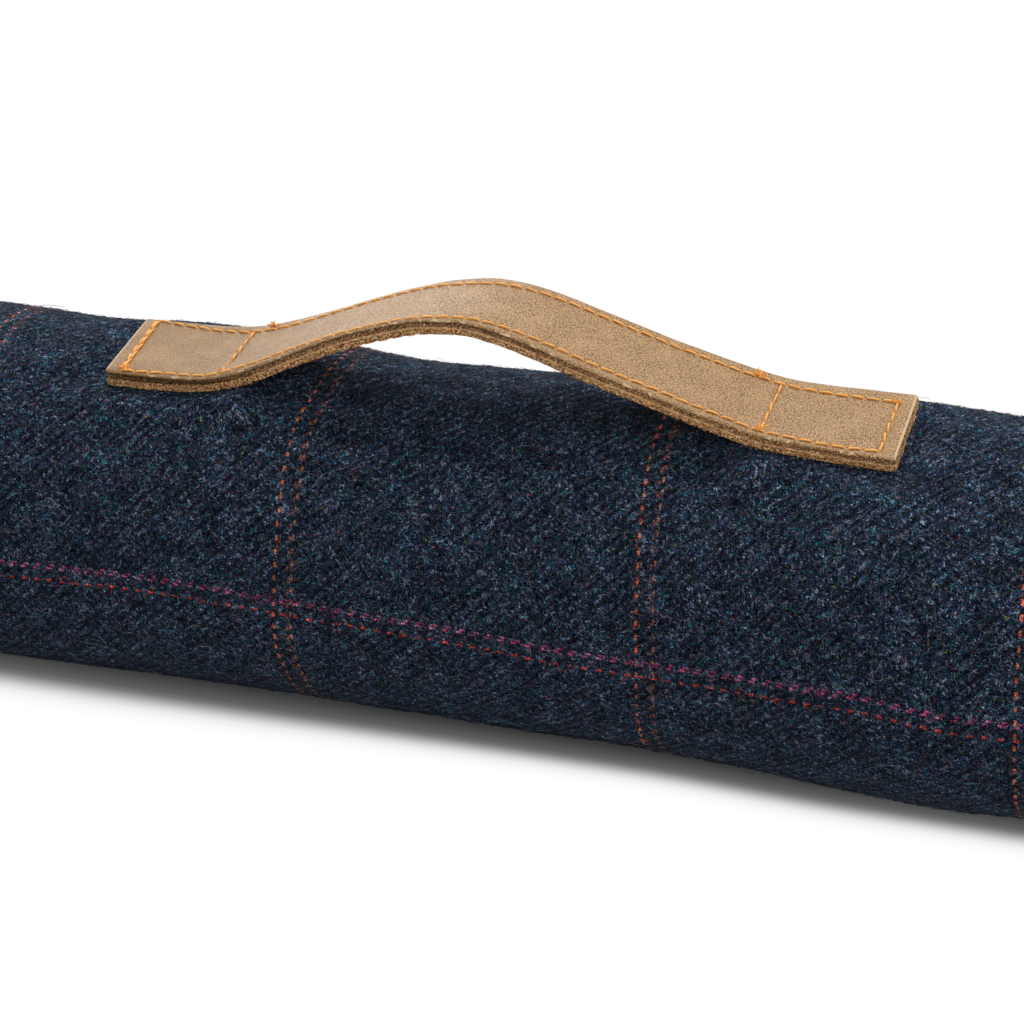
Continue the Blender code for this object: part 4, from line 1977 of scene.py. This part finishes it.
@dataclass
class LeatherFuzz:
    """Fine fibres that stand out of the handle's cut edges and its flesh side."""

    handle: HandleForm
    finish: bpy.types.Material
    count: int = 7000
    joint_share: float = 0.3
    joint_depth: float = 2.25 * MM
    joint_spread: float = 0.3 * MM
    depths: tuple[float, float] = (1.3 * MM, 4.5 * MM)
    parted_depth: float = 2.8 * MM
    parted_drop: float = 1.6 * MM
    end_share: float = 0.13
    end_inset: float = 1 * MM
    side_inset: float = 0.15 * MM
    cut_inset: float = 0.1 * MM

    def build(self) -> bpy.types.Object:
        """Build the fibres.

        Returns:
            The dressed fibres.
        """
        handle = self.handle
        rng = np.random.default_rng(51)
        first, last = handle.left + self.end_inset, handle.right - self.end_inset
        place = rng.uniform(first, last, self.count)
        at_joint = (rng.random(self.count) < self.joint_share) & (place > handle.parts_from)
        fall = np.where(
            at_joint,
            rng.normal(self.joint_depth, self.joint_spread, self.count),
            rng.uniform(*self.depths, self.count),
        )
        parted = ~at_joint & (place < handle.parts_from) & (fall < self.parted_depth)
        fall = np.where(parted, fall + self.parted_drop, fall)
        half = handle.width / 2 - self.side_inset
        across = np.where(rng.random(self.count) < 0.5, half, -half)
        at_end = rng.random(self.count) < self.end_share
        ends = (handle.left + self.cut_inset, handle.right - self.cut_inset)
        end_place = np.where(rng.random(self.count) < 0.5, *ends)
        place = np.where(at_end, end_place, place)
        across = np.where(at_end, rng.uniform(-half, half, self.count), across)
        points = handle.surface(place, across, fall)
        away = np.where(at_end, np.sign(place), 0) * 0.5 * MM
        aside = np.where(at_end, 0, np.sign(across)) * 0.5 * MM
        normals = unit(handle.surface(place + away, across + aside, fall) - points)
        coat = FibreCoat(
            "leather_fuzz", self.count, length=(0.5 * MM, 1.5 * MM), width=0.13 * MM,
            lift=0.18 * MM, bend=0.28, shades=LEATHER_SHADES, finish=self.finish, seed=52,
        )
        return coat.build(points, normals, coat.pick(rng, self.count))


class Softbox(NamedTuple):
    """A rectangular light: where it stands, its width and depth, and its power in watts."""

    name: str
    place: tuple[float, float, float]
    size: tuple[float, float]
    power: float


@dataclass
class Studio:
    """Pale glowing floor with a painted shadow under the roll, soft light from above and a camera at
    the photograph's angle.
    """

    camera_place: tuple[float, float, float] = (0.2446, -0.7103, 0.3749)
    camera_yaw: float = 19.0 * DEGREE
    camera_pitch: float = 22.7 * DEGREE
    lens: float = 98.4375
    sensor_width: float = 36.0
    softboxes: tuple[Softbox, ...] = (
        Softbox("softbox_above", (0.0, 0.35, 1.15), (1.4, 0.7), 12.0),
        Softbox("softbox_back", (-0.62, 1.0, 0.5), (0.9, 0.6), 6.0),
        Softbox("softbox_front", (0.7, -0.9, 0.7), (0.8, 0.8), 6.0),
    )
    aim: tuple[float, float, float] = (0.0, 0.0, 0.05)
    # Strength of the floor's glow where it lights the pieces.
    floor_bounce: float = 0.45
    sky_level: float = 0.40
    floor_size: float = 30.0
    floor_drop: float = 0.2 * MM
    rest_half_length: float = 432 * MM
    rest_half_width: float = 20.4 * MM
    rest_middle: float = 1.5 * MM
    rest_forward: float = 2.5 * MM
    # Painted shadow: how far from the roll's footprint the floor's glow stays dimmed, and the glow at
    # each share of that reach.
    painted_shadow_reach: tuple[float, float] = (35 * MM, 26.5 * MM)
    painted_shadow_steps: tuple[tuple[float, float], ...] = (
        (0.0, 0.040), (0.1, 0.060), (0.2, 0.084), (0.3, 0.114), (0.39, 0.184), (0.49, 0.392),
        (0.59, 0.665), (0.68, 0.847), (0.78, 0.94), (1.0, 1.02),
    )

    def add_camera(self) -> None:
        """Add the camera and make it the scene's."""
        camera = bpy.data.objects.new("camera", bpy.data.cameras.new("camera"))
        camera.data.lens = self.lens
        camera.data.sensor_width = self.sensor_width
        camera.data.clip_start = 0.01
        camera.location = self.camera_place
        camera.rotation_euler = (math.pi / 2 - self.camera_pitch, 0, self.camera_yaw)
        bpy.context.scene.collection.objects.link(camera)
        bpy.context.scene.camera = camera

    def add_softbox(self, softbox: Softbox) -> None:
        """Add a light that faces the middle of the roll.

        Args:
            softbox: What the light is like.
        """
        light = bpy.data.lights.new(softbox.name, "AREA")
        light.shape = "RECTANGLE"
        light.size, light.size_y = softbox.size
        light.energy = softbox.power
        box = bpy.data.objects.new(softbox.name, light)
        box.location = softbox.place
        facing = Vector(self.aim) - Vector(softbox.place)
        box.rotation_euler = facing.to_track_quat("-Z", "Y").to_euler()
        bpy.context.scene.collection.objects.link(box)

    def add_floor(self) -> None:
        """Add the pale floor; it glows, and its glow fades to a painted shadow where the roll rests on
        it.
        """
        surface = bmesh.new()
        bmesh.ops.create_grid(surface, x_segments=1, y_segments=1, size=self.floor_size)
        mesh = bpy.data.meshes.new("floor")
        surface.to_mesh(mesh)
        surface.free()
        floor = bpy.data.objects.new("floor", mesh)
        floor.location.z = -self.floor_drop
        nodes = Nodes("pale_floor_painted_shadow")
        x, y, _ = nodes.split(nodes.add("ShaderNodeTexCoord").outputs["Object"])
        beyond_end = nodes.past(nodes.math("ABSOLUTE", x), self.rest_half_length)
        bulge = nodes.product(nodes.rise(x, 0.05, 0.11), nodes.rise(x, 0.22, 0.16))
        forward = nodes.product(bulge, self.rest_forward)
        off_middle = nodes.apart(nodes.total(y, forward), self.rest_middle)
        beside = nodes.past(off_middle, self.rest_half_width)
        away = nodes.math("SQRT", nodes.total(
            nodes.product(beyond_end, beyond_end), nodes.product(beside, beside)
        ))
        # Painted shadow: the floor's glow is dimmed near the roll's footprint in place of a cast
        # shadow.
        painted_shadow_ramp = nodes.add("ShaderNodeValToRGB")
        reach = nodes.rise(x, -0.14, 0.05, *self.painted_shadow_reach)
        nodes.feed(painted_shadow_ramp.inputs[0], nodes.math("DIVIDE", away, reach))
        painted_shadow_band = painted_shadow_ramp.color_ramp
        painted_shadow_band.interpolation = "LINEAR"
        for index, (stop, glow) in enumerate(self.painted_shadow_steps):
            element = painted_shadow_band.elements[index] if index < 2 else painted_shadow_band.elements.new(stop)
            element.position = stop
            element.color = (glow, glow, glow, 1)
        nodes.set(base_color=(0, 0, 0, 1), roughness=1.0, specular_ior_level=0.0)
        nodes.feed(nodes.shader.inputs["Emission Color"], painted_shadow_ramp.outputs[0])
        # The floor glows like a lamp: full strength to the camera, weaker as light on the pieces.
        seen = nodes.add("ShaderNodeLightPath").outputs["Is Camera Ray"]
        strength = nodes.rise(seen, 0, 1, self.floor_bounce, 1)
        nodes.feed(nodes.shader.inputs["Emission Strength"], strength)
        mesh.materials.append(nodes.material)
        bpy.context.scene.collection.objects.link(floor)
        floor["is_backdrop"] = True

    def add_sky(self) -> None:
        """Add even white light from all round."""
        world = bpy.data.worlds.new("studio")
        world.use_nodes = True
        tree = world.node_tree
        sky = tree.nodes["Background"]
        sky.inputs[0].default_value = (1, 1, 1, 1)
        path = tree.nodes.new("ShaderNodeLightPath")
        level = tree.nodes.new("ShaderNodeMapRange")
        level.inputs["To Min"].default_value = self.sky_level
        level.inputs["To Max"].default_value = 1.0
        tree.links.new(path.outputs["Is Camera Ray"], level.inputs["Value"])
        tree.links.new(level.outputs[0], sky.inputs[1])
        bpy.context.scene.world = world

    def build(self) -> None:
        """Set up floor, light and camera."""
        self.add_floor()
        self.add_sky()
        for softbox in self.softboxes:
            self.add_softbox(softbox)
        self.add_camera()
        bpy.context.scene.view_settings.view_transform = "Standard"


def write_sizes() -> None:
    """Find the CAD model's box and the dressed model's box; they are not written anywhere."""
    boxes = {"cad": CAD_BOX, "visual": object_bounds()}
    plain = {name: [list(corner) for corner in box] for name, box in boxes.items()}


def main() -> None:
    """Build and dress every piece, then the studio."""
    logging.basicConfig(level=logging.INFO, format="%(message)s")
    handle = HandleForm()
    form = RollForm(handle=handle)
    plan = StitchPlan()
    cloth = TweedFinish("tweed")
    tweed_pieces = [TweedRoll(form, cloth).build()]
    panel_finish = TweedFinish("tweed_end", overcheck=False).make()
    for side in Side:
        tweed_pieces.append(EndPanel(form, panel_finish, side).build())
    TweedPile(form, cloth, FibreFinish("wool_fibre").make()).build(tweed_pieces)
    grain = LeatherFinish(
        "leather_grain", Face.GRAIN, base=(0.372, 0.212, 0.090), dark=(0.155, 0.078, 0.028),
        light=(0.62, 0.405, 0.205), roughness=0.46,
    ).make()
    raw = LeatherFinish(
        "leather_edge", Face.EDGE, base=(0.480, 0.242, 0.094), dark=(0.028, 0.011, 0.004),
        light=(1.00, 0.62, 0.300), roughness=0.9,
    ).make()
    flesh = LeatherFinish(
        "leather_flesh", Face.FLESH, base=(0.520, 0.262, 0.100), dark=(0.030, 0.012, 0.004),
        light=(1.0, 0.63, 0.300), roughness=0.9,
    ).make()
    LeatherStrip(
        handle, plan, "handle_upper_strip", "handle_top", "leather_grain",
        top=0.0, bottom=2.2 * MM, rim=1.0 * MM, seed=1.0, face_step=0.9 * MM,
    ).build([grain, raw])
    LeatherStrip(
        handle, plan, "handle_under_strip", "handle_under", "leather_under",
        top=2.3 * MM, bottom=4.5 * MM, rim=0.4 * MM, seed=5.0, face_step=2.5 * MM,
    ).build([flesh])
    Stitching(handle, plan, ThreadFinish().make()).build()
    LeatherFuzz(handle, FibreFinish("leather_fibre", 0.75).make()).build()
    Studio().build()
    write_sizes()


if __name__ == "__main__":
    main()
